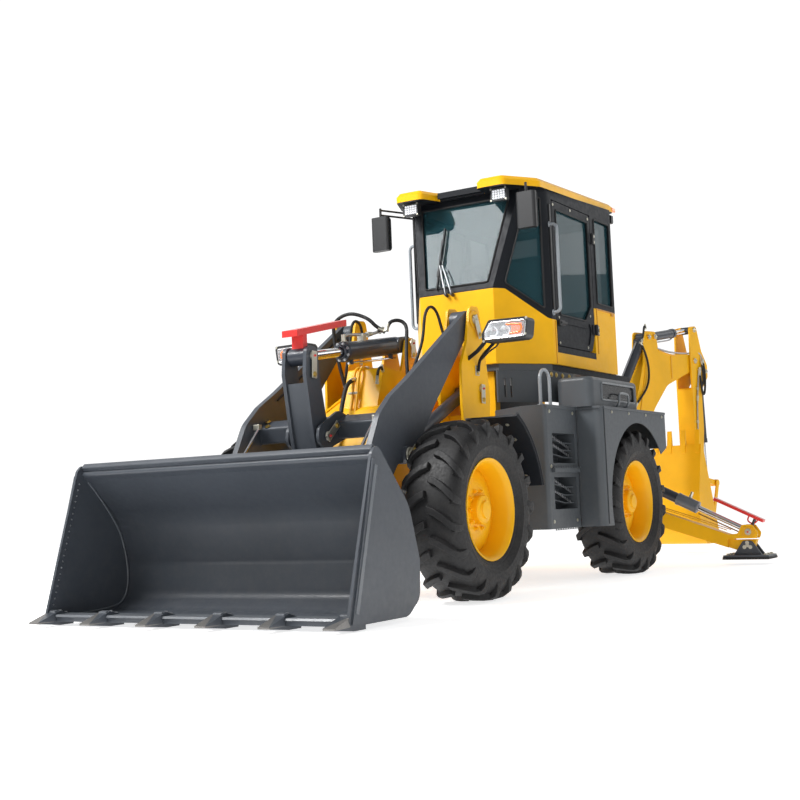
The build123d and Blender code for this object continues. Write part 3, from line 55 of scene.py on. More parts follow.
# in millimetres from the rear axle, ground and centre line
WHEELBASE, AXLE_HEIGHT = 2600, 590
CAB_SIDE = 622                        # outer face of doors, panes and shell
BUCKET_HALF = 1100                    # half the loader bucket's width
ARM_PIN_X, ARM_PIN_Z = 2000, 1930
TILT_A, TILT_B = Vector((2070, 0, 1800)), Vector((3310, 0, 1615))
LIFT_A, LIFT_B = Vector((1930, 455, 1440)), Vector((2950, 455, 960))
LEG_X = -1210
LEG_HALF = 61                         # from a stabilizer leg's middle to its front and rear faces
LEG_A, LEG_B = Vector((LEG_X, 430, 812)), Vector((LEG_X, 1515, 282))
SLEW_X = -1560
SLEW = math.copysign(math.radians(8), sum(v.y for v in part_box("dipper")))
S_LEFT = Vector((math.sin(SLEW), math.cos(SLEW), 0))


def W(x, y, z):
    """Millimetres from the rear axle, ground and centre line, as a place in the row frame."""
    return Vector((x / 1000 + AXLE.x, y / 1000, z / 1000))


def path(side, *points):
    """Places on one side of the machine; the second number counts outwards."""
    return [W(x, side * y, z) for x, y, z in points]


def wall(y, *pairs):
    """Places at one distance from the centre line, from (x, z) pairs."""
    return [W(x, y, z) for x, z in pairs]


def face(x, side, *pairs):
    """Places at one distance forward, from (y, z) pairs whose y counts outwards."""
    return [W(x, side * y, z) for y, z in pairs]


def S(reach, off, z):
    """A place on the slewed backhoe: straight back from its axis, then to the left of its own plane."""
    return W(SLEW_X - reach * math.cos(SLEW) + off * math.sin(SLEW),
        reach * math.sin(SLEW) + off * math.cos(SLEW), z)


def unslew(p):
    """(reach, offset, height) of a point in millimetres on the slewed backhoe."""
    q = Vector((p.x - SLEW_X, p.y, 0))
    return -(q.x * math.cos(SLEW) - q.y * math.sin(SLEW)), q.x * math.sin(SLEW) + q.y * math.cos(SLEW), p.z


# ------------ materials
class Finish:
    """A material being made: its nodes, its shader and the object's own coordinates."""

    def __init__(self, name):
        self.mat = bpy.data.materials.new(name)
        self.mat.use_nodes = True
        self.tree = self.mat.node_tree
        self.shader = self.tree.nodes["Principled BSDF"]
        self.at = self.tree.nodes.new("ShaderNodeTexCoord").outputs["Object"]

    def node(self, kind, values):
        made = self.tree.nodes.new(kind)
        for socket, value in values.items():
            made.inputs[socket].default_value = value
        return made

    def noise(self, scale, detail=4.0, rough=0.55):
        made = self.node("ShaderNodeTexNoise", {"Scale": scale, "Detail": detail, "Roughness": rough})
        self.tree.links.new(self.at, made.inputs["Vector"])
        return made.outputs["Fac"]

    def ramp(self, fac, from_low, from_high, to_low, to_high):
        made = self.node("ShaderNodeMapRange",
            {"From Min": from_low, "From Max": from_high, "To Min": to_low, "To Max": to_high})
        self.tree.links.new(fac, made.inputs["Value"])
        return made.outputs["Result"]

    def mix(self, fac, a, b):
        """Two colours, each fixed or from another node, mixed by a node's output."""
        made = self.node("ShaderNodeMix", {})
        made.data_type = "RGBA"
        self.tree.links.new(fac, made.inputs[0])
        for socket, value in ((made.inputs[6], a), (made.inputs[7], b)):
            if isinstance(value, tuple):
                socket.default_value = (*value, 1.0)
            else:
                self.tree.links.new(value, socket)
        return made.outputs[2]

    def colour(self, fac, base, shade):
        """The base colour, uneven down to a share of its brightness."""
        self.feed("Base Color", self.mix(fac, tuple(c * shade for c in base), base))

    def feed(self, socket, source):
        self.tree.links.new(source, self.shader.inputs[socket])

    def fix(self, socket, value):
        self.shader.inputs[socket].default_value = value

    def bump(self, height, strength, distance):
        made = self.node("ShaderNodeBump", {"Strength": strength, "Distance": distance})
        self.tree.links.new(height, made.inputs["Height"])
        self.feed("Normal", made.outputs["Normal"])


DUST = (0.42, 0.38, 0.32)
TYRE_DUST = (0.16, 0.145, 0.125)


def paint(name, base, rough, coat, dust_amount=0.0, peel=0.05, specular=0.5):
    """Sprayed machine paint: orange peel, faint uneven gloss, a little dust low down."""
    f = Finish(name)
    shade = tuple(c * 0.86 for c in base)
    colour = f.mix(f.ramp(f.noise(2.2), 0.35, 0.65, 0.0, 1.0), shade, base)
    split = f.node("ShaderNodeSeparateXYZ", {})
    f.tree.links.new(f.at, split.inputs[0])
    patch = f.node("ShaderNodeMath", {})
    patch.operation = "MULTIPLY"
    f.tree.links.new(f.ramp(split.outputs["Z"], 0.05, 1.3, dust_amount * 2.2, 0.0), patch.inputs[0])
    f.tree.links.new(f.ramp(f.noise(14.0, 6.0, 0.7), 0.42, 0.7, 0.15, 1.0), patch.inputs[1])
    f.feed("Base Color", f.mix(patch.outputs[0], colour, DUST))
    f.feed("Roughness", f.ramp(f.noise(30.0, 5.0), 0.3, 0.7, rough - 0.05, rough + 0.09))
    f.fix("Coat Weight", coat)
    f.fix("Coat Roughness", 0.12)
    f.fix("Specular IOR Level", specular)
    f.bump(f.noise(420.0, 2.0), peel, 0.001)
    return f.mat


def metal(name, base, rough, streak=0.15):
    f = Finish(name)
    f.colour(f.noise(25.0), base, 0.8)
    f.feed("Roughness", f.ramp(f.noise(120.0, 6.0), 0.3, 0.7, rough, rough + streak))
    f.fix("Metallic", 1.0)
    f.bump(f.noise(300.0, 3.0), 0.06, 0.001)
    return f.mat


def plastic(name, base, rough, grain=900.0, strength=0.12):
    f = Finish(name)
    f.colour(f.noise(8.0), base, 0.75)
    f.feed("Roughness", f.ramp(f.noise(40.0), 0.3, 0.7, rough - 0.06, rough + 0.08))
    f.bump(f.noise(grain, 2.0), strength, 0.001)
    return f.mat


def rubber(name, base, dusty=0.05):
    f = Finish(name)
    f.feed("Base Color", f.mix(f.ramp(f.noise(9.0, 7.0, 0.7), 0.45, 0.72, 0.0, dusty), base, TYRE_DUST))
    f.feed("Roughness", f.ramp(f.noise(60.0, 5.0), 0.3, 0.7, 0.50, 0.72))
    f.bump(f.noise(260.0, 4.0), 0.18, 0.002)
    return f.mat


def glass(name, tint, alpha):
    f = Finish(name)
    f.colour(f.noise(3.0), tint, 0.8)
    f.fix("Roughness", 0.03)
    f.fix("IOR", 1.5)
    f.fix("Specular IOR Level", 0.22)
    f.feed("Alpha", f.ramp(f.noise(1.6, 2.0), 0.3, 0.7, alpha - 0.05, alpha + 0.05))
    return f.mat


def lit(name, colour, strength):
    f = Finish(name)
    f.colour(f.noise(60.0), colour, 0.8)
    f.fix("Roughness", 0.15)
    f.fix("Emission Color", (*colour, 1.0))
    f.fix("Emission Strength", strength)
    f.fix("Coat Weight", 1.0)
    return f.mat


YELLOW = paint("machine_yellow", (1.0, 0.52, 0.002), 0.42, 0.10, dust_amount=0.01, specular=0.28)
SLATE = paint("slate_paint", (0.058, 0.068, 0.084), 0.42, 0.12, dust_amount=0.02)
BOX_GREY = paint("box_grey", (0.080, 0.091, 0.102), 0.46, 0.08, dust_amount=0.03)
BLACK = paint("black_enamel", (0.008, 0.010, 0.014), 0.50, 0.0, specular=0.25)
SATIN_BLACK = plastic("satin_black", (0.022, 0.023, 0.025), 0.42)
CYLINDER = paint("cylinder_enamel", (0.034, 0.041, 0.056), 0.36, 0.18)
RED = paint("guard_red", (0.78, 0.035, 0.03), 0.35, 0.3)
CHROME = metal("chromed_rod", (0.80, 0.81, 0.83), 0.08, 0.08)
ZINC = metal("zinc_plate", (0.72, 0.70, 0.60), 0.30, 0.2)
WORN = metal("worn_steel", (0.30, 0.29, 0.28), 0.42, 0.25)
RUBBER = rubber("tyre_rubber", (0.006, 0.006, 0.007), 0.07)
HOSE = rubber("hose_rubber", (0.012, 0.012, 0.013))
GLASS = glass("cab_glass", (0.022, 0.072, 0.088), 0.62)
LENS = glass("lamp_lens", (0.85, 0.88, 0.90), 0.22)
LAMP_WHITE = lit("lamp_white", (0.95, 0.96, 1.0), 0.55)
ORANGE = lit("indicator_orange", (1.0, 0.22, 0.03), 0.25)
REFLECTOR = metal("lamp_reflector", (0.92, 0.93, 0.95), 0.10, 0.10)
SEAT_CLOTH = plastic("seat_vinyl", (0.03, 0.03, 0.032), 0.6, 500.0, 0.3)
MIRROR = metal("mirror_face", (0.80, 0.84, 0.88), 0.03, 0.02)
SEAM = paint("yellow_seam", (0.62, 0.27, 0.004), 0.4, 0.2)
YELLOW_PIPE = paint("yellow_bead", (0.88, 0.43, 0.002), 0.40, 0.1)
SEAM_GREY = paint("grey_seam", (0.045, 0.050, 0.056), 0.5, 0.1)
# a lighter copy of the slate paint: painted highlight on bucket edges, welds and strips that catch the light,
# with a little dust
SLATE_LIT_EDGE = paint("slate_edge_painted_highlight", (0.120, 0.135, 0.155), 0.40, 0.25, dust_amount=0.05)
GLAND = paint("gland_grey", (0.150, 0.165, 0.185), 0.34, 0.3)
RAIL = paint("rail_grey", (0.30, 0.33, 0.36), 0.30, 0.4)
RAIL_DARK = paint("rail_dark", (0.14, 0.155, 0.17), 0.30, 0.4)
GLOSS_BLACK = paint("gloss_black", (0.010, 0.012, 0.015), 0.18, 0.8, peel=0.01)
RUBBER_TRIM = rubber("rubber_trim", (0.010, 0.010, 0.011))
SATIN_STEEL = metal("satin_steel", (0.55, 0.56, 0.58), 0.28)
BRASS = metal("yellow_zinc", (0.72, 0.55, 0.20), 0.28)
BROWN = paint("guide_brown", (0.40, 0.17, 0.01), 0.4, 0.2)
LINING = plastic("head_lining_cloth", (0.22, 0.23, 0.24), 0.75, 300.0, 0.3)

# ------------ the CAD nodes' finishes
FINISH = {
    "side_boxes": BOX_GREY, "engine": SATIN_BLACK, "cab_frame": BLACK, "door_left": BLACK,
    "door_right": BLACK, "cab_interior": SEAT_CLOTH, "rails_and_mirrors": SATIN_BLACK,
    "work_lamps": SATIN_BLACK, "headlamps": SATIN_BLACK,
}
YELLOW_NODES = ("rear_frame", "front_frame", "cab_shell", "swing_post", "boom", "dipper", "digging_bucket",
    "stabilizer_leg_left", "stabilizer_leg_right", "cab_roof", "idler_links", "tipping_link")
SLATE_NODES = ("rear_axle", "front_axle", "front_fenders", "lift_arm", "rocker", "bucket_link",
    "loader_bucket", "stabilizer_foot_left", "stabilizer_foot_right")
GLASS_NODES = ("cab_glass", "door_left_glass", "door_right_glass")
for group, mat in ((YELLOW_NODES, YELLOW), (SLATE_NODES, SLATE), (GLASS_NODES, GLASS)):
    FINISH.update({name: mat for name in group})
BY_WORD = (("tyre", RUBBER), ("rim", YELLOW), ("_rod", CHROME), ("", CYLINDER))

SOFT_EDGE = 0.0035
for name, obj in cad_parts.items():
    obj.data.materials.clear()
    obj.data.materials.append(FINISH.get(name) or next(mat for word, mat in BY_WORD if word in name))
    if name.startswith(("tyre", "rim")) or "glass" in name:
        continue
    weld = obj.modifiers.new("weld", "WELD")
    weld.merge_threshold = 0.00002
    flat = obj.modifiers.new("flat", "DECIMATE")
    flat.decimate_type = "DISSOLVE"
    flat.angle_limit = math.radians(0.5)
    flat.delimit = {"MATERIAL"}
    edge = obj.modifiers.new("edge", "BEVEL")
    edge.width = SOFT_EDGE
    edge.segments = 2
    edge.limit_method = "ANGLE"
    edge.angle_limit = math.radians(38)
    obj.modifiers.new("normals", "WEIGHTED_NORMAL")


# ------------ forms and pieces
def form(fill):
    """Lets a form be described where a piece is asked for, and put into its mesh there."""
    def described(*given, **named):
        return lambda bm: fill(bm, *given, **named)
    return described


@form
def box(bm, centre, size, turn=None):
    """A block; turn is a 3x3 rotation about its centre."""
    turned_by = turn.to_4x4() if turn else Matrix.Identity(4)
    m = Matrix.Translation(centre) @ turned_by @ Matrix.Diagonal((*size, 1.0))
    bmesh.ops.create_cube(bm, size=1.0, matrix=m)


def between(a, b):
    """Rotation that takes +Z to the direction from a to b."""
    return (b - a).to_track_quat("Z", "Y").to_matrix()


def add_rod(bm, a, b, r, r2=None, sides=24):
    m = Matrix.Translation((a + b) / 2) @ between(a, b).to_4x4()
    bmesh.ops.create_cone(bm, cap_ends=True, segments=sides, radius1=r, radius2=r if r2 is None else r2,
        depth=(b - a).length, matrix=m)


rod = form(add_rod)


@form
def turned(bm, origin, axis, profile, steps=64):
    """A closed (radius, distance along axis) outline turned about an axis."""
    turn = Vector(axis).to_track_quat("Z", "Y").to_matrix()
    rings = []
    for i in range(steps):
        a = 2 * math.pi * i / steps
        rings.append([bm.verts.new(Vector(origin) + turn @ Vector((r * math.cos(a), r * math.sin(a), d)))
            for r, d in profile])
    for one, two in zip(rings, rings[1:] + rings[:1]):
        skin(bm, one, two)


def skin(bm, one, two):
    """Faces between two rings of as many points."""
    for j in range(len(one)):
        k = (j + 1) % len(one)
        bm.faces.new((one[j], two[j], two[k], one[k]))


@form
def prism(bm, lows, highs):
    """An outline's places at its two ends, capped and joined."""
    one = [bm.verts.new(p) for p in lows]
    two = [bm.verts.new(p) for p in highs]
    bm.faces.new(one)
    bm.faces.new(list(reversed(two)))
    for i in range(len(one)):
        j = (i + 1) % len(one)
        bm.faces.new((one[i], one[j], two[j], two[i]))


def slab(y_low, y_high, *pairs):
    """An (x, z) outline between two distances from the centre line."""
    return prism(wall(y_low, *pairs), wall(y_high, *pairs))


@form
def bolt(bm, at, axis, r=0.011, h=0.008):
    """A hexagon on its washer."""
    axis = Vector(axis).normalized()
    add_rod(bm, at, at + axis * 0.0022, r * 1.55, sides=20)
    add_rod(bm, at, at + axis * h, r, r * 0.96, sides=6)


@form
def fitting(bm, at, to, r):
    """A hose's crimped end with its hexagon, from at towards to."""
    d = (to - at).normalized()
    add_rod(bm, at, at + d * 0.016, r * 1.35, sides=6)
    add_rod(bm, at + d * 0.014, at + d * 0.058, r * 1.08, r * 0.98, sides=16)


def moved(matrix):
    """Moves all that the piece holds so far."""
    return lambda bm: bmesh.ops.transform(bm, matrix=matrix, verts=bm.verts)


SHARP = math.radians(35)


def piece(name, mat, body, bevel, *forms, smooth=True, segments=2):
    """One object made of forms, which rides on a body."""
    bm = bmesh.new()
    for fill in forms:
        fill(bm)
    mesh = bpy.data.meshes.new(name)
    bmesh.ops.recalc_face_normals(bm, faces=bm.faces)
    bm.to_mesh(mesh)
    bm.free()
    mesh.materials.append(mat)
    obj = bpy.data.objects.new(name, mesh)
    bpy.context.collection.objects.link(obj)
    for poly in mesh.polygons:
        poly.use_smooth = smooth
    if bevel:
        mod = obj.modifiers.new("edge", "BEVEL")
        mod.width = bevel
        mod.segments = segments
        mod.limit_method = "ANGLE"
        mod.angle_limit = SHARP
        obj.modifiers.new("normals", "WEIGHTED_NORMAL")
    elif smooth:
        mesh.set_sharp_from_angle(angle=SHARP)
    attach(obj, body)
    return obj


def tube(name, points, r, mat, body, closed=False):
    """A round tube, hose or bead: a smooth curve through its route's control points."""
    curve = bpy.data.curves.new(name, "CURVE")
    curve.dimensions = "3D"
    curve.bevel_depth = r
    curve.bevel_resolution = 2 if closed else 3
    curve.resolution_u = 6 if closed else 10
    curve.use_fill_caps = not closed
    spline = curve.splines.new("NURBS")
    spline.points.add(len(points) - 1)
    for p, q in zip(spline.points, points):
        p.co = (*q, 1.0)
    spline.order_u = 3
    spline.use_endpoint_u = not closed
    spline.use_cyclic_u = closed
    curve.materials.append(mat)
    obj = bpy.data.objects.new(name, curve)
    bpy.context.collection.objects.link(obj)
    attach(obj, body)


def ring(name, corners, r, mat, body):
    """A closed round bead through corner points, such as a gasket or a bezel."""
    points = []
    for a, b, c in zip(corners[-1:] + corners[:-1], corners, corners[1:] + corners[:1]):
        cut = min((a - b).length, (c - b).length, 0.12) * 0.35
        points += [b + (a - b).normalized() * cut, b, b + (c - b).normalized() * cut]
    tube(name, points, r, mat, body, closed=True)


def hose(name, points, body, r=0.011, far_end=True):
    """A hydraulic hose with a fitting at its start and, unless told otherwise, at its far end."""
    tube(name, points, r, HOSE, body)
    ends = [fitting(points[0], points[1], r)]
    if far_end:
        ends.append(fitting(points[-1], points[-2], r))
    piece(f"{name}_fittings", ZINC, body, 0.0008, *ends)


def bolts(name, body, mat, spots, axis, r=0.011, h=0.008):
    piece(name, mat, body, 0, *[bolt(p, axis, r, h) for p in spots], smooth=False)


def flat_plate(name, body, mat, corners, axis, thick):
    """A thin plate on its corner points, raised along an axis."""
    raised = [c + Vector(axis) * thick for c in corners]
    piece(name, mat, body, 0.002, prism(corners, raised))


def pin_end(name, body, at, axis, r, plate_to=None, red=True):
    """A greased pin's end: collar, cap over the nipple, and a bolted keeper plate."""
    axis = Vector(axis).normalized()
    piece(f"{name}_collar", ZINC, body, 0.001, rod(at, at + axis * 0.010, r, r * 0.94, 36),
        rod(at, at + axis * 0.016, r * 0.62, r * 0.56, 36))
    piece(f"{name}_cap", RED if red else ZINC, body, 0.001,
        rod(at + axis * 0.015, at + axis * 0.026, r * 0.30, r * 0.22, 20))
    if plate_to is not None:
        d = plate_to - at
        across = axis.cross(d).normalized() * 0.026
        along = d.normalized()
        ends = [at - along * 0.03 + across, plate_to + across, plate_to - across, at - along * 0.03 - across]
        flat_plate(f"{name}_keeper", body, ZINC, [e + axis * 0.010 for e in ends], axis, 0.008)
        bolts(f"{name}_keeper_bolt", body, BRASS, [plate_to - along * 0.025 + axis * 0.018], axis, 0.012,
            0.010)


# ------------ tyres and rims
LUG_N = 19
CROWN_R = TYRE_R - 0.032
# (radius, distance from the tyre's middle) of one half of the carcass
CARCASS = [(0.318, 0.146), (0.345, 0.156), (0.352, 0.163), (0.362, 0.163), (0.369, 0.170), (0.400, 0.184),
    (0.408, 0.190), (0.418, 0.190), (0.426, 0.189), (0.470, 0.192), (0.505, 0.184), (0.532, 0.168),
    (0.550, 0.140), (0.556, 0.09), (CROWN_R, 0.03)]
# a lug's (distance from the tyre's middle, depth under its tip, degrees swept, half width)
LUG = [(0.010, 0.001, 0.0, 0.022), (0.060, 0.0, 2.0, 0.023), (0.115, 0.003, 5.5, 0.025),
    (0.160, 0.010, 9.5, 0.027), (0.190, 0.030, 12.0, 0.027), (0.1985, 0.062, 13.2, 0.024),
    (0.1975, 0.100, 14.0, 0.019), (0.192, 0.128, 14.4, 0.014)]
SHOULDER = 4                          # how many of a lug's stations lie on the crown


@form
def lug(bm, side, start):
    """One deep slanted lug that wraps over the shoulder."""
    rings = []
    for k, (d, depth, sweep, half_w) in enumerate(LUG):
        top = TYRE_R - depth
        deep, inner = (top - 0.045, d) if k < SHOULDER else (top - 0.012, d - 0.035)
        a = math.radians(start + sweep)
        section = []
        for r, dd, w in ((deep, inner, half_w + 0.008), (top, d, half_w), (top, d, -half_w),
                (deep, inner, -half_w - 0.008)):
            b = a + w / top
            section.append(bm.verts.new((r * math.sin(b), side * dd, r * math.cos(b))))
        rings.append(section)
    for one, two in zip(rings, rings[1:]):
        skin(bm, one, two)
    bm.faces.new(rings[0])
    bm.faces.new(list(reversed(rings[-1])))


# (radius, distance outwards) outlines of the rim's parts
WELL = [(0.322, 0.158), (0.332, 0.160), (0.334, 0.152), (0.324, 0.146), (0.312, 0.143), (0.306, 0.120),
    (0.296, 0.085), (0.290, 0.030), (0.292, -0.060), (0.300, -0.110), (0.318, -0.148), (0.330, -0.150),
    (0.332, -0.158), (0.320, -0.160), (0.296, -0.120), (0.283, -0.060), (0.280, 0.028), (0.286, 0.084),
    (0.296, 0.118), (0.302, 0.138)]
DISC = [(0.284, 0.012), (0.284, 0.000), (0.250, 0.010), (0.185, 0.036), (0.150, 0.040), (0.0006, 0.040),
    (0.0006, 0.056), (0.150, 0.056), (0.188, 0.052), (0.252, 0.026)]
HUB = [(0.0006, 0.050), (0.095, 0.050), (0.095, 0.100), (0.088, 0.108), (0.060, 0.112), (0.055, 0.126),
    (0.0006, 0.128)]
NUT_N = 10


def wheel(end, x, side, word):
    """A detailed tyre, rim and ring of nuts in place of the CAD ones."""
    centre = Vector((x, side * AXLE.y, AXLE.z))
    body = f"wheel_{end}_{word}"
    rolled = Matrix.Rotation(math.radians(side * 7 + x * 11), 4, "Y")
    lugs = [lug(s, 360 / LUG_N * (i + (0.5 if s < 0 else 0.0))) for s in (1, -1) for i in range(LUG_N)]
    whole = CARCASS + [(r, -d) for r, d in reversed(CARCASS)]
    tyre = piece(f"tyre_{end}_{word}_detailed", RUBBER, body, 0.004,
        turned((0, 0, 0), (0, 1, 0), whole, 96), *lugs, moved(Matrix.Translation(centre) @ rolled))
    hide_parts(f"tyre_{end}_{word}")
    outlines = ((WELL, 96), (DISC, 96), (HUB, 64))
    parts = [turned((0, 0, 0), (0, side, 0), outline, steps) for outline, steps in outlines]
    rim = piece(f"rim_{end}_{word}_detailed", YELLOW, body, 0.002, *parts, moved(Matrix.Translation(centre)))
    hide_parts(f"rim_{end}_{word}")
    forms = []
    for i in range(NUT_N):
        a = 2 * math.pi * i / NUT_N
        at = centre + Vector((0.125 * math.cos(a), side * 0.056, 0.125 * math.sin(a)))
        forms += [bolt(at, (0, side, 0), 0.013, 0.016),
            rod(at, at + Vector((0, side * 0.026, 0)), 0.007, sides=12)]
    nuts = piece(f"wheel_nuts_{end}_{word}", YELLOW, body, 0, *forms, smooth=False)


for end, x in (("front", FRONT_X), ("rear", AXLE.x)):
    for side, word in SIDES:
        wheel(end, x, side, word)


# ------------ finishes of single faces
def repaint(node, mat, test=lambda p, n: True):
    """Gives the faces of a CAD node whose centre in millimetres and normal pass the test another finish."""
    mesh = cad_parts[node].data
    if mat.name not in [m.name for m in mesh.materials]:
        mesh.materials.append(mat)
    at = [m.name for m in mesh.materials].index(mat.name)
    for poly in mesh.polygons:
        c = poly.center
        if test(Vector(((c.x - AXLE.x) * 1000, c.y * 1000, c.z * 1000)), poly.normal):
            poly.material_index = at


def off_line(p, a, b):
    """(distance along a-b, distance from it, height above it) of a point."""
    d = (b - a).normalized()
    along = (p - a).dot(d)
    side = (p - a) - d * along
    return along, side.length, side.z


def lefted(p):
    """The point, or its mirror image on the left side."""
    return Vector((p.x, abs(p.y), p.z))


repaint("cab_roof", BLACK, lambda p, n: n.z < -0.35 or (p.x > 990 and abs(p.y) < 203 and p.z < 3160))
repaint("rails_and_mirrors", RAIL, lambda p, n: 690 < p.x < 760 or p.z < 1640)
repaint("side_boxes", GLOSS_BLACK, lambda p,
    n: 928 < abs(p.y) < 949 and -62 < p.x < 622 and 1398 < p.z < 1532)
repaint("headlamps", REFLECTOR, lambda p, n: n.x > 0.9 and 2132 < p.x < 2136)
repaint("headlamps", LAMP_WHITE, lambda p, n: 2135.5 < p.x < 2145 and abs(p.y) < 930)
repaint("headlamps", ORANGE, lambda p, n: 2141 < p.x < 2145 and abs(p.y) > 935 and n.x > 0.9)
repaint("work_lamps", REFLECTOR, lambda p, n: n.x > 0.9 and 1156 < p.x < 1160)
repaint("front_frame", BLACK, lambda p, n: abs(p.y) > 583 and p.z > 1600)
repaint("tilt_cylinder_rod", CYLINDER)
repaint("tilt_cylinder_rod", CHROME, lambda p, n: off_line(p, TILT_A, TILT_B)[1] < 33 and p.x < 3215)
repaint("tilt_cylinder_rod", RED, lambda p, n: off_line(p, TILT_A, TILT_B)[2] > 62)
repaint("front_fenders", BLACK)
repaint("rear_frame", BLACK, lambda p, n: 1646 < p.z < 1703 and p.x <= 330)
repaint("rear_frame", BOX_GREY, lambda p, n: 1646 < p.z < 1703 and p.x > 330)
repaint("loader_bucket", WORN, lambda p, n: p.x > 4520)
repaint("lift_cylinder_rods", CYLINDER)
repaint("lift_cylinder_rods", CHROME, lambda p, n: off_line(lefted(p), LIFT_A, LIFT_B)[1] < 27)
for side, word in SIDES:
    node = f"stabilizer_rod_{word}"
    repaint(node, CYLINDER)
    repaint(node, CHROME, lambda p, n: off_line(lefted(p), LEG_A, LEG_B)[1] < 26.5)
    repaint(node, RED, lambda p, n: off_line(lefted(p), LEG_A, LEG_B)[2] > 95)
    repaint(f"stabilizer_barrel_{word}", GLAND, lambda p, n: off_line(lefted(p), LEG_A, LEG_B)[0] > 496)
# the backhoe's cylinders, from base pin to rod pin in its own plane
BOOM_CYLINDER = Vector((960, 0, 2250)), Vector((230, 0, 1390))
DIPPER_CYLINDER = Vector((1090, 0, 2262)), Vector((1960, 0, 2400))
CROWD_CYLINDER = Vector((2185, 0, 1960)), Vector((2243, 0, 736))
for name, (start, stop), r in (("boom", BOOM_CYLINDER, 27), ("dipper", DIPPER_CYLINDER, 25),
        ("crowd", CROWD_CYLINDER, 23)):
    repaint(f"{name}_cylinder_rod", CYLINDER)
    repaint(f"{name}_cylinder_rod", CHROME, lambda p, n: off_line(Vector(unslew(p)), start, stop)[1] < r)


# ------------ cab
def screen_x(z, proud=6):
    """How far forward the leaning windscreen is at a height."""
    return 1190 - (z - 2300) * 230 / 790 + proud


def corner_wall(side, x, z, proud=4):
    """A place on the cab's slanted front corner wall, a little proud of it."""
    return W(x + proud * 0.55, side * (330 + (1190 - x) * 290 / 440 + proud * 0.83), z)


def cab_gaskets():
    screen = ((-281, 2344), (281, 2344), (401, 3036), (-401, 3036))
    ring("screen_gasket", [W(screen_x(z, 3), y, z) for y, z in screen], 0.008, RUBBER_TRIM, "rear")
    quarter = ((1100, 2335), (905, 3032), (806, 3032), (806, 2140))
    for side, word in SIDES:
        ring(f"quarter_gasket_{word}", [corner_wall(side, x, z) for x, z in quarter], 0.007, RUBBER_TRIM,
            "rear")
        ring(f"side_gasket_{word}", wall(side * CAB_SIDE, (-522, 2288), (-188, 2288), (-188, 3022),
            (-522, 3022)), 0.007, RUBBER_TRIM, "rear")
    ring("rear_gasket", face(-582, 1, (-522, 2288), (522, 2288), (522, 3022), (-522, 3022)), 0.007,
        RUBBER_TRIM, "rear")


def wiper():
    """Two thin arms that carry one blade."""
    feet = [W(screen_x(2275, 34), y, 2275) for y in (-70, -18)]
    knees = [W(screen_x(2530, 40), y, 2530) for y in (-152, -128)]
    piece("wiper_spindles", SATIN_BLACK, "rear", 0.001,
        *[rod(f - Vector((0.030, 0, 0.004)), f + Vector((0.012, 0, 0.003)), 0.014, 0.010, 16)
        for f in feet])
    for i, (foot, knee) in enumerate(zip(feet, knees)):
        tube(f"wiper_arm_{i}", [foot, foot + Vector((0.006, -0.01, 0.06)), knee], 0.0055, SATIN_STEEL, "rear")
    foot, tip = W(screen_x(2330, 12), -168, 2330), W(screen_x(2850, 12), -150, 2850)
    middle, turn = (foot + tip) / 2, between(foot, tip)
    piece("wiper_blade", SATIN_BLACK, "rear", 0.002, box(middle, (0.012, 0.026, (tip - foot).length), turn),
        box(middle + Vector((0.014, 0, 0.004)), (0.010, 0.014, 0.30), turn),
        *[box(foot.lerp(tip, k) + Vector((0.012, 0, 0.003)), (0.022, 0.018, 0.05), turn)
        for k in (0.25, 0.5, 0.75)])
    tube("washer_hose", [W(screen_x(2275, 30), -95, 2285), W(screen_x(2400, 34), -150, 2400), knees[0]],
        0.003, HOSE, "rear")


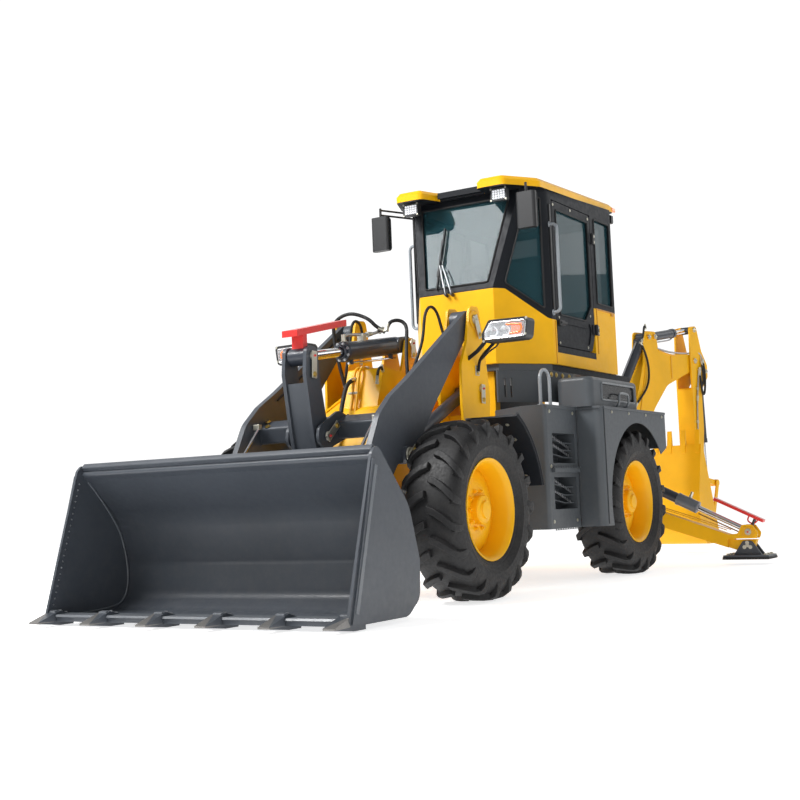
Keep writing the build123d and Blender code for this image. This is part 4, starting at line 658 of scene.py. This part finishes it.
def cab_side(side, word):
    """Lamps, mirror, door furniture and trim on one side of the cab."""
    door, outer, out = f"door_{word}", side * CAB_SIDE, (0, side, 0)
    leds = [W(1160, side * (355 + col * 22.5), 2996 + row * 18.5) for row in range(4) for col in range(5)]
    piece(f"work_lamp_leds_{word}", LAMP_WHITE, "rear", 0.0005,
        *[rod(c, c + Vector((0.005, 0, 0)), 0.0085, 0.0065, 12) for c in leds])
    piece(f"work_lamp_lens_{word}", LENS, "rear", 0.001,
        box(W(1166, side * 400, 3023), (0.003, 0.112, 0.074)))
    bolts(f"work_lamp_screws_{word}", "rear", ZINC,
        face(1165, side, (336, 2978), (336, 3068), (464, 2978), (464, 3068)), (1, 0, 0), 0.005, 0.004)
    piece(f"mirror_glass_{word}", MIRROR, "rear", 0.006,
        box(W(1177, side * 660, 2850), (0.004, 0.132, 0.245)), segments=3)
    ring(f"mirror_rim_{word}", face(1178, side, (588, 2718), (732, 2718), (732, 2982), (588, 2982)), 0.007,
        SATIN_BLACK, "rear")
    piece(f"roof_marker_{word}", ORANGE, "rear", 0.008,
        box(W(-745, side * 583, 3205), (0.085, 0.030, 0.036)), segments=3)
    piece(f"rear_lamp_lens_{word}", LENS, "rear", 0.004,
        box(W(-737, side * 545, 3115), (0.004, 0.072, 0.058)))
    ring(f"door_gasket_{word}", wall(outer, (-40, 2245), (85, 2110), (597, 2110), (597, 2967), (-40, 2967)),
        0.007, RUBBER_TRIM, door)
    piece(f"door_handle_{word}", SATIN_BLACK, door, 0.004,
        box(W(600, side * 632, 2040), (0.10, 0.020, 0.045)),
        box(W(575, side * 644, 2042), (0.11, 0.010, 0.020)))
    bolts(f"door_bolts_{word}", door, ZINC,
        wall(side * 620.5, (620, 2085), (620, 1880), (640, 3000), (300, 3010), (-60, 3000), (-20, 2160),
        (60, 1885)), out, 0.007, 0.005)
    for k, z in enumerate((2050, 2840)):
        piece(f"hinge_leaf_{word}_{k}", SATIN_BLACK, "rear", 0.002,
            box(W(-150, side * 625, z), (0.07, 0.010, 0.085)),
            rod(W(-116, side * 634, z - 46), W(-116, side * 634, z + 46), 0.013, sides=20))
        bolts(f"hinge_bolts_{word}_{k}", "rear", ZINC, wall(side * 630, (-160, z - 24), (-160, z + 24)),
            out, 0.008, 0.006)
    # pressed seams of the yellow shell, its drip line and the pillar's trim
    tube(f"shell_seam_{word}", wall(outer, (700, 1705), (700, 2050)), 0.004, SEAM, "rear")
    tube(f"shell_seam_rear_{word}", wall(outer, (-160, 1850), (-160, 2236)), 0.004, SEAM, "rear")
    piece(f"shell_lip_{word}", SEAM, "rear", 0.002, box(W(-350, outer, 2236), (0.40, 0.012, 0.012)),
        box(W(-500, side * 624, 2222), (0.050, 0.010, 0.030)))
    piece(f"pillar_trim_{word}", SATIN_BLACK, "rear", 0.003,
        box(W(718, side * 624, 2560), (0.026, 0.012, 0.86)))
    for k, z in enumerate((2115, 2825)):
        piece(f"grab_foot_{word}_{k}", RAIL, "rear", 0.001,
            rod(W(722, side * 620, z), W(722, side * 628, z), 0.026, 0.024))


def cab_inside():
    """Head lining, dash and seat seams, which show through the glass."""
    piece("head_lining", LINING, "rear", 0.006, box(W(170, 0, 3078), (1.35, 1.08, 0.016)))
    piece("dash_top", SATIN_BLACK, "rear", 0.010,
        box(W(905, 0, 2232), (0.26, 0.60, 0.05), Matrix.Rotation(math.radians(-14), 3, "Y")),
        box(W(790, 0, 2262), (0.020, 0.30, 0.09), Matrix.Rotation(math.radians(-24), 3, "Y")), segments=3)
    for k in range(4):
        y = -200 + k * 133
        tube(f"seat_seam_{k}", [W(-178, y, 2220), W(-174, y, 2460), W(-178, y, 2650)], 0.005, SATIN_BLACK,
            "rear")


# ------------ boxes, steps and fenders
def on_fender(angle, r, y):
    """A place over the front tyre, an angle in degrees up from straight back."""
    a = math.radians(angle)
    return W(WHEELBASE - r * math.cos(a), y, AXLE_HEIGHT + r * math.sin(a))


def box_side(side, word):
    out = (0, side, 0)
    ring(f"tool_box_frame_{word}", wall(side * 951, (-64, 1398), (624, 1398), (624, 1532), (-64, 1532)),
        0.009, RAIL_DARK, "rear")
    tube(f"tool_box_handle_{word}", path(side, (150, 948, 1352), (150, 985, 1362), (150, 985, 1440),
        (170, 985, 1462), (330, 985, 1462), (350, 985, 1440), (350, 985, 1362), (350, 948, 1352)), 0.009,
        RAIL_DARK, "rear")
    bolts(f"panel_bolts_{word}", "rear", BRASS,
        wall(side * 597, *[(x, 1618) for x in (430, 560, 680, 770)]), out, 0.013, 0.009)
    piece(f"box_lip_{word}", BOX_GREY, "rear", 0.003, box(W(1075, side * 803, 1328), (0.56, 0.014, 0.024)),
        box(W(50, side * 1004, 1330), (1.36, 0.012, 0.020)),
        box(W(792, side * 902, 1330), (0.016, 0.20, 0.020)))
    tube(f"column_seam_{word}", wall(side * 1003, (726, 430), (726, 1318)), 0.004, SEAM_GREY, "rear")
    tube(f"column_seam_front_{word}", wall(side * 806, (800, 430), (800, 1318)), 0.005, SEAM_GREY, "rear")
    # sawtooth grips in the two step openings and along the treads
    slanted = [(900 + k * 30, base + k * 30 * 0.30) for base in (950, 1010, 600, 680) for k in range(11)]
    piece(f"step_teeth_{word}", SATIN_STEEL, "rear", 0.0006,
        *[slab(side * 765, side * 771, (x, z), (x + 22, z + 6), (x + 11, z + 26)) for x, z in slanted])
    upper = [slab(side * 822, side * 826, (x, 866), (x + 22, 866), (x + 11, 884))
        for x in range(810, 810 + 16 * 31, 31)]
    lower = [slab(side * 797, side * 801, (x, 404), (x + 24, 404), (x + 12, 421))
        for x in range(845, 845 + 14 * 31, 31)]
    piece(f"tread_teeth_{word}", BOX_GREY, "rear", 0.0006, *upper, *lower)
    bolts(f"box_bolts_{word}", "rear", ZINC,
        wall(side * 800.5, (870, 470), (1290, 470), (1290, 1290), (870, 1290), (1300, 880)), out, 0.009,
        0.006)
    bolts(f"fender_bolts_{word}", "rear", ZINC,
        wall(side * 1000.5, *[(x, 1300) for x in (-560, -180, 200, 560)]), out, 0.008, 0.006)
    for k, x in enumerate((1130, 1300)):
        piece(f"hoop_foot_{word}_{k}", RAIL, "rear", 0.001,
            rod(W(x, side * 740, 1340), W(x, side * 740, 1348), 0.026, 0.024))
    tube(f"fender_bead_{word}", [on_fender(a, 722, side * 1006) for a in range(12, 62, 7)], 0.010, BLACK,
        "front")
    rivets = []
    for a in (18, 30, 42, 54):
        inwards = (math.cos(math.radians(a)), 0, -math.sin(math.radians(a)))
        rivets += [bolt(on_fender(a, 697, side * y), inwards, 0.009, 0.006) for y in (700, 900)]
    piece(f"fender_rivets_{word}", ZINC, "front", 0, *rivets, smooth=False)


# ------------ headlamps
BOWL = ((0.0005, 0.0), (0.030, 0.0), (0.034, 0.006), (0.028, 0.004), (0.0005, 0.002))


def headlamp(side, word):
    ring(f"headlamp_bezel_{word}", face(2148, side, (737, 1756), (1037, 1756), (1053, 1864), (781, 1868),
        (737, 1806)), 0.007, REFLECTOR, "front")
    lens = ((739, 1758), (1035, 1758), (1051, 1862), (783, 1866), (739, 1804))
    piece(f"headlamp_lens_{word}", LENS, "front", 0.001,
        prism(face(2148, side, *lens), face(2151, side, *lens)))
    piece(f"headlamp_bowls_{word}", REFLECTOR, "front", 0,
        *[turned(W(2142, side * y, 1806), (1, 0, 0), BOWL, 32) for y in (795, 890)])
    piece(f"headlamp_led_bar_{word}", LAMP_WHITE, "front", 0.001,
        *[box(W(2141, side * (770 + k * 62), 1768), (0.006, 0.050, 0.006)) for k in range(5)])
    # the amber turn signal as a curved light guide
    tube(f"turn_signal_{word}", face(2146, side, (905, 1846), (1015, 1846), (1022, 1806), (1005, 1782),
        (930, 1782)), 0.008, ORANGE, "front")
    bolts(f"headlamp_screws_{word}", "front", ZINC,
        face(2150, side, (1048, 1768), (728, 1745), (1060, 1876)), (1, 0, 0), 0.006, 0.004)
    tube(f"headlamp_bracket_{word}", path(side, (2055, 760, 1740), (2060, 700, 1690), (2030, 640, 1650),
        (1985, 596, 1620), (1985, 590, 1560)), 0.011, BLACK, "front")
    flat_plate(f"headlamp_bracket_plate_{word}", "front", ZINC,
        wall(side * 579, (1960, 1600), (2015, 1600), (2015, 1530), (1960, 1530)), (0, side, 0), 0.006)
    bolts(f"headlamp_bracket_bolts_{word}", "front", BRASS, wall(side * 585, (1987, 1588), (1987, 1545)),
        (0, side, 0), 0.009, 0.008)
    tube(f"headlamp_lead_{word}", path(side, (2040, 800, 1760), (2005, 760, 1720), (1990, 690, 1700),
        (1960, 600, 1640)), 0.006, HOSE, "front")


# ------------ nose and towers
def nose_hoses():
    """Hose loops behind the tilt cylinder and at the cowl, and pipes bent down the nose's front."""
    hose("tilt_hose_far", path(1, (2330, 40, 1868), (2380, 0, 1900), (2415, -30, 1951), (2424, -90, 1985),
        (2450, -150, 2006), (2460, -210, 2004), (2470, -270, 1978), (2460, -320, 1930), (2430, -320, 1760),
        (2410, -290, 1580), (2400, -258, 1450)), "front", 0.013)
    hose("tilt_hose_near", path(1, (2350, 62, 1868), (2335, 72, 1930), (2277, 103, 1952), (2238, 135, 1940),
        (2240, 167, 1897), (2290, 190, 1800), (2380, 235, 1640), (2400, 256, 1450)), "front", 0.013)
    hose("cowl_hose", path(1, (2015, 383, 1690), (2040, 340, 1868), (2075, 325, 2010), (2165, 320, 2045),
        (2240, 315, 1975), (2262, 310, 1800), (2330, 300, 1665), (2430, 256, 1435)), "front")
    hose("cowl_hose_right", path(-1, (2015, 383, 1690), (2040, 340, 1868), (2080, 325, 1980),
        (2165, 320, 2010), (2235, 315, 1945), (2262, 310, 1790), (2330, 300, 1665), (2430, 256, 1435)),
        "front")
    hose("nose_hose_small", path(1, (2560, 152, 1560), (2590, 165, 1590), (2640, 165, 1570),
        (2650, 160, 1500), (2640, 152, 1470)), "front", 0.010)
    for k, y in enumerate((-62, -22)):
        tube(f"nose_pipe_{k}", path(1, (2330, y, 1592), (2500, y, 1610), (2580, y, 1590),
            (2610 + k * 4, y, 1500), (2668 + k * 4, y + 20, 1330), (2760, y + 26, 1120)), 0.011,
            YELLOW_PIPE, "front")
        piece(f"nose_pipe_clamps_{k}", ZINC, "front", 0.002,
            *[box(p, (0.030, 0.036, 0.016)) for p in wall(y, (2500, 1606), (2640, 1420))])
    hose("nose_hose_front", path(1, (2590, -60, 1520), (2680, -60, 1500), (2740, -58, 1400),
        (2800, -55, 1240), (2860, -52, 1080)), "front", 0.015)


def nose_details():
    for side, word in SIDES:
        spots = wall(side * 263, (2630, 1300), (2560, 1345), (2610, 1255), (2300, 1440), (2420, 1400))
        bolts(f"nose_bolts_{word}", "front", ZINC, spots, (0, side, 0), 0.013)
    rim = [math.pi * i / 6 for i in range(12)]
    for side, word in SIDES:
        out = (0, side, 0)
        tube(f"nose_weld_{word}", wall(side * 150, (2130, 1530), (2300, 1470), (2640, 1285)), 0.005,
            YELLOW_PIPE, "front")
        pin_end(f"arm_pin_{word}", "front", W(ARM_PIN_X, side * 583, ARM_PIN_Z), out, 0.034,
            W(1945, side * 583, 1800), red=False)
        pin_end(f"lift_pin_{word}", "front", W(1930, side * 579, 1440), out, 0.030, W(1935, side * 579, 1335))
        tube(f"tower_weld_{word}", wall(side * 580, (1850, 1180), (2085, 1180)), 0.004, YELLOW_PIPE, "front")
        boss = [(ARM_PIN_X + 66 * math.cos(a), ARM_PIN_Z + 66 * math.sin(a)) for a in rim]
        ring(f"tower_boss_{word}", wall(side * 582, *boss), 0.004, YELLOW_PIPE, "front")
        pin_end(f"tilt_pin_{word}", "front", W(2070, side * 100, 1800), out, 0.028, W(2075, side * 100, 1690))


# ------------ tilt cylinder, arm, rocker and bucket
TILT_D = (TILT_B - TILT_A).normalized()
TILT_UP = Vector((-TILT_D.z, 0, TILT_D.x))


def on_tilt(along, up, y=0):
    """A place beside the tilt cylinder: along it from its base pin, above its axis, and to the left."""
    p = TILT_A + TILT_D * along + TILT_UP * up
    return W(p.x, y, p.z)


def tilt_cylinder():
    body = "tilt_barrel"
    piece("tilt_gland", CYLINDER, body, 0.0015,
        turned(on_tilt(735, 0), TILT_D, [(0.040, 0.0), (0.064, 0.0), (0.068, 0.004), (0.068, 0.036),
        (0.064, 0.040), (0.040, 0.040)]),
        turned(on_tilt(775, 0), TILT_D, [(0.036, 0.0), (0.050, 0.0), (0.050, 0.014), (0.044, 0.020),
        (0.036, 0.020)]), turned(on_tilt(66, 0), TILT_D,
        [(0.050, 0.0), (0.060, 0.0), (0.060, 0.030), (0.050, 0.030)]))
    side_axis = TILT_D.cross(TILT_UP)
    turns = [math.pi / 8 + 2 * math.pi * i / 8 for i in range(8)]
    bolts("tilt_gland_bolts", body, SATIN_STEEL,
        [on_tilt(775, 0) + (TILT_UP * math.cos(a) + side_axis * math.sin(a)) * 0.058 for a in turns],
        TILT_D, 0.007, 0.010)
    tube("tilt_pipe", [on_tilt(*p) for p in ((725, 58), (728, 92), (700, 112), (600, 108), (430, 100),
        (300, 104), (240, 120))], 0.011, SATIN_STEEL, body)
    piece("tilt_pipe_fittings", ZINC, body, 0.001, fitting(on_tilt(727, 60), on_tilt(727, 100), 0.015),
        fitting(on_tilt(430, 100), on_tilt(330, 103), 0.016),
        fitting(on_tilt(262, 112), on_tilt(232, 122), 0.016), box(on_tilt(500, 80), (0.04, 0.05, 0.05)))
    tube("tilt_level_rod", [on_tilt(735, -82, 20), on_tilt(420, -86, 20), on_tilt(120, -88, 20)], 0.008,
        CHROME, body)
    piece("tilt_level_brackets", CYLINDER, body, 0.002,
        *[box(on_tilt(d, -72, 20), (0.02, 0.03, 0.04)) for d in (180, 700)])


def arm_side(side, word):
    """Pins, bolts, welds, level rod and grease pipe on one side of the lift arm and rocker."""
    out = (0, side, 0)
    pin_end(f"rocker_top_pin_{word}", "rocker", W(3310, side * 97, 1615), out, 0.030,
        W(3318, side * 97, 1470))
    pin_end(f"rocker_foot_pin_{word}", "rocker", W(3104, side * 97, 526), out, 0.028)
    pin_end(f"rocker_pin_{word}", "arm", W(3230, side * 141, 1100), out, 0.032, W(3130, side * 141, 1185))
    bolts(f"arm_bolts_{word}", "arm", BRASS, path(side, (3040, 480, 1235), (3100, 440, 1200)),
        (0.35, 0, 0.94), 0.014, 0.012)
    tube(f"cross_weld_{word}", wall(side * 502, (2950, 1110), (2990, 1250), (3120, 1190), (3090, 1080)),
        0.006, SLATE, "arm")
    tube(f"ear_weld_{word}", wall(side * 136, (2985, 1245), (3118, 1192)), 0.006, SLATE, "arm")
    pin_end(f"lift_eye_{word}", "arm", W(2950, side * 578, 960), out, 0.050, W(2890, side * 578, 1010))
    pin_end(f"bucket_pin_{word}", "bucket", W(3620, side * 614, 270), out, 0.036)
    tube(f"level_rod_{word}", wall(side * 462, (3165, 1196), (3300, 1050), (3440, 900)), 0.010, CHROME, "arm")
    piece(f"level_rod_ends_{word}", ZINC, "arm", 0.003,
        box(W(3170, side * 474, 1196), (0.036, 0.050, 0.036)),
        box(W(3420, side * 480, 912), (0.030, 0.050, 0.030)))
    tube(f"arm_pipe_{word}", path(side, (2120, 502, 1890), (2500, 500, 1640), (2900, 500, 1390)), 0.006,
        HOSE, "arm")


def loader_bucket():
    """Wear edge, tooth adapters and their bolts, welds, side strips and top rail."""
    inner = BUCKET_HALF - 14
    # The edge, tooth adapters, bowl welds and side strips are in the lighter slate: painted highlight along
    # edges that catch the light.
    piece("bucket_edge", SLATE_LIT_EDGE, "bucket", 0.001,
        slab(-inner, inner, (4335, 63), (4472, 63), (4482, 58), (4472, 71), (4335, 71)))
    pitch = (2 * BUCKET_HALF - 50) / 5
    for i in range(6):
        y = min(max(-BUCKET_HALF + 25 + i * pitch, -BUCKET_HALF + 36), BUCKET_HALF - 40)
        piece(f"tooth_adapter_{i}", SLATE_LIT_EDGE, "bucket", 0.003,
            slab(y - 30, y + 30, (4380, 70), (4440, 96), (4470, 92), (4470, 66)))
        bolts(f"tooth_bolts_{i}", "bucket", SATIN_STEEL, wall(y, (4356, 71), (4400, 84)), (0, 0, 1), 0.011,
            0.010)
    for side, word in SIDES:
        tube(f"bowl_weld_{word}", wall(side * (BUCKET_HALF - 17), (4330, 54), (3910, 54), (3800, 140),
            (3786, 330), (3876, 618), (4128, 862)), 0.006, SLATE_LIT_EDGE, "bucket")
        outer = side * (BUCKET_HALF + 10)
        piece(f"bucket_side_strip_{word}", SLATE_LIT_EDGE, "bucket", 0.002,
            slab(outer - side * 1, outer + side * 4, (4180, 860), (4207, 868), (4440, 96), (4412, 88)))
        plugs = [W(4205 + 240 * k / 21, side * (BUCKET_HALF - 18), 850 - 760 * k / 21) for k in range(22)]
        piece(f"bucket_plug_welds_{word}", SATIN_STEEL, "bucket", 0.0005,
            *[rod(p, p + Vector((0, -side * 0.004, 0)), 0.006, 0.005, 10) for p in plugs])
    inner = BUCKET_HALF - 20
    piece("bucket_top_rail", SLATE, "bucket", 0.006,
        slab(-inner, inner, (4105, 925), (4162, 978), (4190, 950), (4150, 912)))


# ------------ backhoe
UNTURN = Matrix.Rotation(-SLEW, 3, "Z")
# name, body, reach, height, offset and radius of the pins whose ends show on both sides
BACKHOE_PINS = (("boom_foot_pin", "post", 420, 800, 113, 0.034),
    ("boom_ear_pin", "boom", 960, 2250, 85, 0.026), ("dipper_base_pin", "boom", 1090, 2262, 85, 0.026),
    ("boom_tip_pin", "boom", 1930, 2060, 101, 0.030), ("dipper_top_pin", "dipper", 1960, 2400, 95, 0.028),
    ("crowd_base_pin", "dipper", 2185, 1960, 95, 0.024), ("idler_pin", "dipper", 1949, 779, 121, 0.024),
    ("dipper_end_pin", "dipper", 1930, 450, 121, 0.027))


def backhoe_side(side, word):
    """Pin ends, welds and a strip on one side of the boom and dipper."""
    for name, body, reach, z, off, r in BACKHOE_PINS:
        pin_end(f"{name}_{word}", body, S(reach, side * off, z), S_LEFT * side, r, red=False)
    welds = ((700, 1420), (800, 1690), (880, 1960)), ((1180, 2128), (1380, 2094), (1560, 2098))
    for k, line in enumerate(welds):
        tube(f"boom_weld_{word}_{k}", [S(r, side * 71, z) for r, z in line], 0.007, YELLOW_PIPE, "boom")
    piece(f"boom_side_strip_{word}", YELLOW_PIPE, "boom", 0.003,
        box(S(1440, side * 72, 1965), (0.028, 0.010, 0.24), UNTURN))


def slewed(*points):
    return [S(*p) for p in points]


def backhoe_hoses():
    """Hoses and pipes on the left of the boom and dipper."""
    hose("boom_hose", slewed((780, 78, 2190), (850, 86, 2100), (905, 92, 1960), (900, 92, 1800),
        (820, 90, 1690), (700, 86, 1600), (600, 82, 1520)), "boom")
    hose("boom_hose_base", slewed((940, 60, 2330), (925, 66, 2365), (880, 74, 2350), (850, 80, 2260),
        (800, 80, 2180)), "boom")
    for k, off in enumerate((52, 66)):
        tube(f"boom_pipe_{k}", slewed((1150, off, 2150), (1350, off, 2128), (1700, off, 2128),
            (1950, off, 2150), (2040, off + 20, 2160), (2085, off + 38, 2130), (2090, off + 42, 2080)),
            0.008, SATIN_STEEL, "boom")
    hose("dipper_hose_outer", slewed((2095, 112, 2090), (2120, 118, 1950), (2100, 122, 1780),
        (2065, 122, 1690), (2025, 120, 1720), (2010, 116, 1850), (2012, 112, 1990)), "dipper", 0.012)
    hose("dipper_hose_inner", slewed((2060, 112, 2070), (2078, 116, 1950), (2068, 118, 1830),
        (2045, 118, 1790), (2020, 116, 1830), (2000, 112, 1960)), "dipper", 0.010)
    tube("dipper_pipe", slewed((2010, 104, 1990), (1975, 104, 1850), (1935, 104, 1680), (1905, 103, 1400),
        (1900, 102, 1150), (1915, 102, 980)), 0.009, SATIN_STEEL, "dipper")
    clamps = [box(p, (0.040, 0.018, 0.030), UNTURN)
        for p in slewed((1950, 102, 1760), (1905, 102, 1400), (1902, 102, 1120))]
    piece("dipper_pipe_clamps", ZINC, "dipper", 0.002, *clamps,
        fitting(S(1935, 104, 1680), S(1928, 104, 1630), 0.014))


def backhoe_cylinder(name, a, b, reach, r, offsets):
    """A gland ring and a hard line, whose offsets from the cylinder's axis are given at its four stations."""
    d = (b - a).normalized()

    def at(s, n=0.0):
        return S(a.x + d.x * s - d.z * n, 0, a.z + d.z * s + d.x * n)

    body = f"{name}_barrel"
    piece(f"{name}_gland", CYLINDER, body, 0.0015,
        turned(at(reach - 34), (at(100) - at(0)).normalized(),
        [(r * 0.7, 0.0), (r + 0.008, 0.0), (r + 0.008, 0.030), (r * 0.7, 0.030)], 48))
    stations = (reach - 40, reach - 60, 300, 120)
    tube(f"{name}_line", [at(s, -off) for s, off in zip(stations, offsets)], 0.008, SATIN_STEEL, body)


# ------------ stabilizers
LEG_D = (LEG_B - LEG_A).normalized()
LEG_RUN = (LEG_B - LEG_A).length


def stabilizer(side, word):
    def at(s, up=0.0):
        return W(LEG_X, side * (LEG_A.y + LEG_D.y * s - LEG_D.z * up), LEG_A.z + LEG_D.z * s + LEG_D.y * up)

    axis = (at(100) - at(0)).normalized()
    barrel, rod_body, leg, foot = f"leg_barrel_{word}", f"leg_rod_{word}", f"leg_{word}", f"foot_{word}"
    piece(f"stabilizer_gland_{word}", GLAND, barrel, 0.0015,
        turned(at(496), axis, [(0.040, 0.0), (0.056, 0.0), (0.057, 0.004), (0.057, 0.020), (0.040, 0.020)],
        48), turned(at(688), axis, [(0.026, 0.0), (0.055, 0.0), (0.055, 0.010), (0.046, 0.016),
        (0.026, 0.016)], 48))
    piece(f"stabilizer_fittings_{word}", ZINC, barrel, 0.001, fitting(at(600, 50), at(600, 100), 0.013),
        fitting(at(110, 44), at(110, 100), 0.013))
    hose(f"stabilizer_hose_{word}", [at(118, 60), at(112, 110), at(60, 135), at(-30, 128), at(-90, 95)],
        barrel, far_end=False)
    tube(f"stabilizer_guide_{word}", [at(725, -46), at(900, -46), at(1120, -44)], 0.006, BROWN, rod_body)
    loop = ((-60, 118), (-66, 84), (-30, 70), (8, 74), (22, 118))
    tube(f"guard_loop_{word}", [at(LEG_RUN + s, up) for s, up in loop], 0.007, RED, rod_body)
    eye = ((1455, 250), (1470, 325), (1545, 325), (1580, 270), (1540, 235))
    for x, end in ENDS:
        if end == "front":            # the digging bucket swings past the rear face
            pin_end(f"leg_eye_{word}", leg, W(LEG_X + LEG_HALF, side * LEG_B.y, LEG_B.z), (1, 0, 0), 0.030)
        flat_plate(f"leg_eye_plate_{word}_{end}", leg, YELLOW_PIPE, face(LEG_X + x * 60.5, side, *eye),
            (x, 0, 0), 0.006)
    # foot: rubber pads in layers with bolts, bracket bolts
    piece(f"pad_layers_{word}", RUBBER_TRIM, foot, 0.003,
        box(W(LEG_X, side * 1500, 64), (0.268, 0.408, 0.010)),
        box(W(LEG_X, side * 1500, 52), (0.272, 0.412, 0.010)))
    for k, y in enumerate((1335, 1665)):
        bolts(f"pad_bolts_{word}_{k}", foot, ZINC, [W(LEG_X + x, side * y, 83) for x in (-90, 0, 90)],
            (0, 0, 1), 0.016, 0.014)
    for x, end in ENDS:
        bolts(f"foot_bolts_{word}_{end}", foot, ZINC,
            face(LEG_X + x * 60, side, (1500, 165), (1474, 150), (1526, 150), (1500, 188)), (x, 0, 0),
            0.011, 0.010)
    for x, seam in ((LEG_HALF, "leg_seam"), (-LEG_HALF, "leg_seam_rear")):
        tube(f"{seam}_{word}", face(LEG_X + x, side, (620, 548), (1000, 422), (1330, 300)), 0.004,
            YELLOW_PIPE, leg)
    for x, end in ENDS:
        pin_end(f"leg_pin_{word}_{end}", "rear", W(LEG_X + x * 131, side * 480, 500), (x, 0, 0), 0.032,
            red=False)
        pin_end(f"leg_barrel_pin_{word}_{end}", "rear", W(LEG_X + x * 131, side * LEG_A.y, LEG_A.z),
            (x, 0, 0), 0.025, red=False)


# ------------ all the details, in order
def both(detail):
    for side, word in SIDES:
        detail(side, word)


cab_gaskets()
wiper()
both(cab_side)
cab_inside()
both(box_side)
both(headlamp)
nose_hoses()
nose_details()
tilt_cylinder()
both(arm_side)
loader_bucket()
both(backhoe_side)
backhoe_hoses()
backhoe_cylinder("boom", *BOOM_CYLINDER, 850, 0.040, (56, 68, 66, 60))
backhoe_cylinder("dipper", *DIPPER_CYLINDER, 560, 0.038, (52, 66, 66, 62))
backhoe_cylinder("crowd", *CROWD_CYLINDER, 780, 0.034, (48, 58, 58, 54))
both(stabilizer)

# ------------ stage, light and camera
FLOOR = plastic("pale_floor", (0.94, 0.94, 0.94), 0.8, 60.0, 0.01)
floor_shader = FLOOR.node_tree.nodes["Principled BSDF"]
floor_shader.inputs["Emission Color"].default_value = (1.0, 1.0, 1.0, 1.0)
floor_shader.inputs["Emission Strength"].default_value = 0.72
floor_shader.inputs["Specular IOR Level"].default_value = 0.0
bm = bmesh.new()
bmesh.ops.create_grid(bm, x_segments=1, y_segments=1, size=120.0)
mesh = bpy.data.meshes.new("floor")
bm.to_mesh(mesh)
bm.free()
mesh.materials.append(FLOOR)
floor = bpy.data.objects.new("floor", mesh)
floor.location = (0, 0, -0.0005)
bpy.context.collection.objects.link(floor)

world = bpy.data.worlds.new("studio")
bpy.context.scene.world = world
world.use_nodes = True
sky = world.node_tree
# a wide white screen stands beyond the machine, and the rest of the studio is dimmer
SCREEN_DIR = (-0.853, -0.521, 0.05)
facing = sky.nodes.new("ShaderNodeVectorMath")
facing.operation = "DOT_PRODUCT"
facing.inputs[1].default_value = SCREEN_DIR
sky.links.new(sky.nodes.new("ShaderNodeTexCoord").outputs["Generated"], facing.inputs[0])
level = sky.nodes.new("ShaderNodeMapRange")
level.interpolation_type = "SMOOTHSTEP"
level.inputs["From Min"].default_value = 0.62
level.inputs["From Max"].default_value = 0.86
level.inputs["To Min"].default_value = 0.34
level.inputs["To Max"].default_value = 1.08
sky.links.new(facing.outputs["Value"], level.inputs["Value"])
sky.links.new(level.outputs["Result"], sky.nodes["Background"].inputs["Strength"])
sky.nodes["Background"].inputs["Color"].default_value = (1.0, 1.0, 1.0, 1.0)
bpy.context.scene.view_settings.view_transform = "Standard"


def area(name, place, aim, size, power):
    data = bpy.data.lights.new(name, "AREA")
    data.shape = "RECTANGLE"
    data.size, data.size_y = size
    data.energy = power
    obj = bpy.data.objects.new(name, data)
    obj.location = place
    obj.rotation_euler = (Vector(aim) - Vector(place)).to_track_quat("-Z", "Y").to_euler()
    bpy.context.collection.objects.link(obj)


area("key", (7.5, -3.5, 8.5), (0.5, 0, 1.2), (4.0, 4.0), 1150)
area("front", (10.5, 7.5, 4.5), (0.5, 0, 1.2), (4.0, 3.0), 110)
area("back", (-8.0, 5.0, 6.0), (-1.0, 0, 1.4), (5.0, 4.0), 90)

EYE = W(9935, 4784, 654)
YAW, PITCH, ROLL = math.radians(31.41), math.radians(4.62), math.radians(-2.30)
look = Vector((-math.cos(YAW) * math.cos(PITCH), -math.sin(YAW) * math.cos(PITCH), math.sin(PITCH)))
right = look.cross(Vector((0, 0, 1))).normalized()
up = right.cross(look)
across = right * math.cos(ROLL) + up * math.sin(ROLL)
upright = up * math.cos(ROLL) - right * math.sin(ROLL)
cam_data = bpy.data.cameras.new("camera")
cam_data.lens = 57.28
cam_data.sensor_width = 36.0
cam_data.clip_end = 400.0
cam = bpy.data.objects.new("camera", cam_data)
cam.matrix_world = Matrix.Translation(EYE) @ Matrix((across, upright, -look)).transposed().to_4x4()
bpy.context.collection.objects.link(cam)
bpy.context.scene.camera = cam
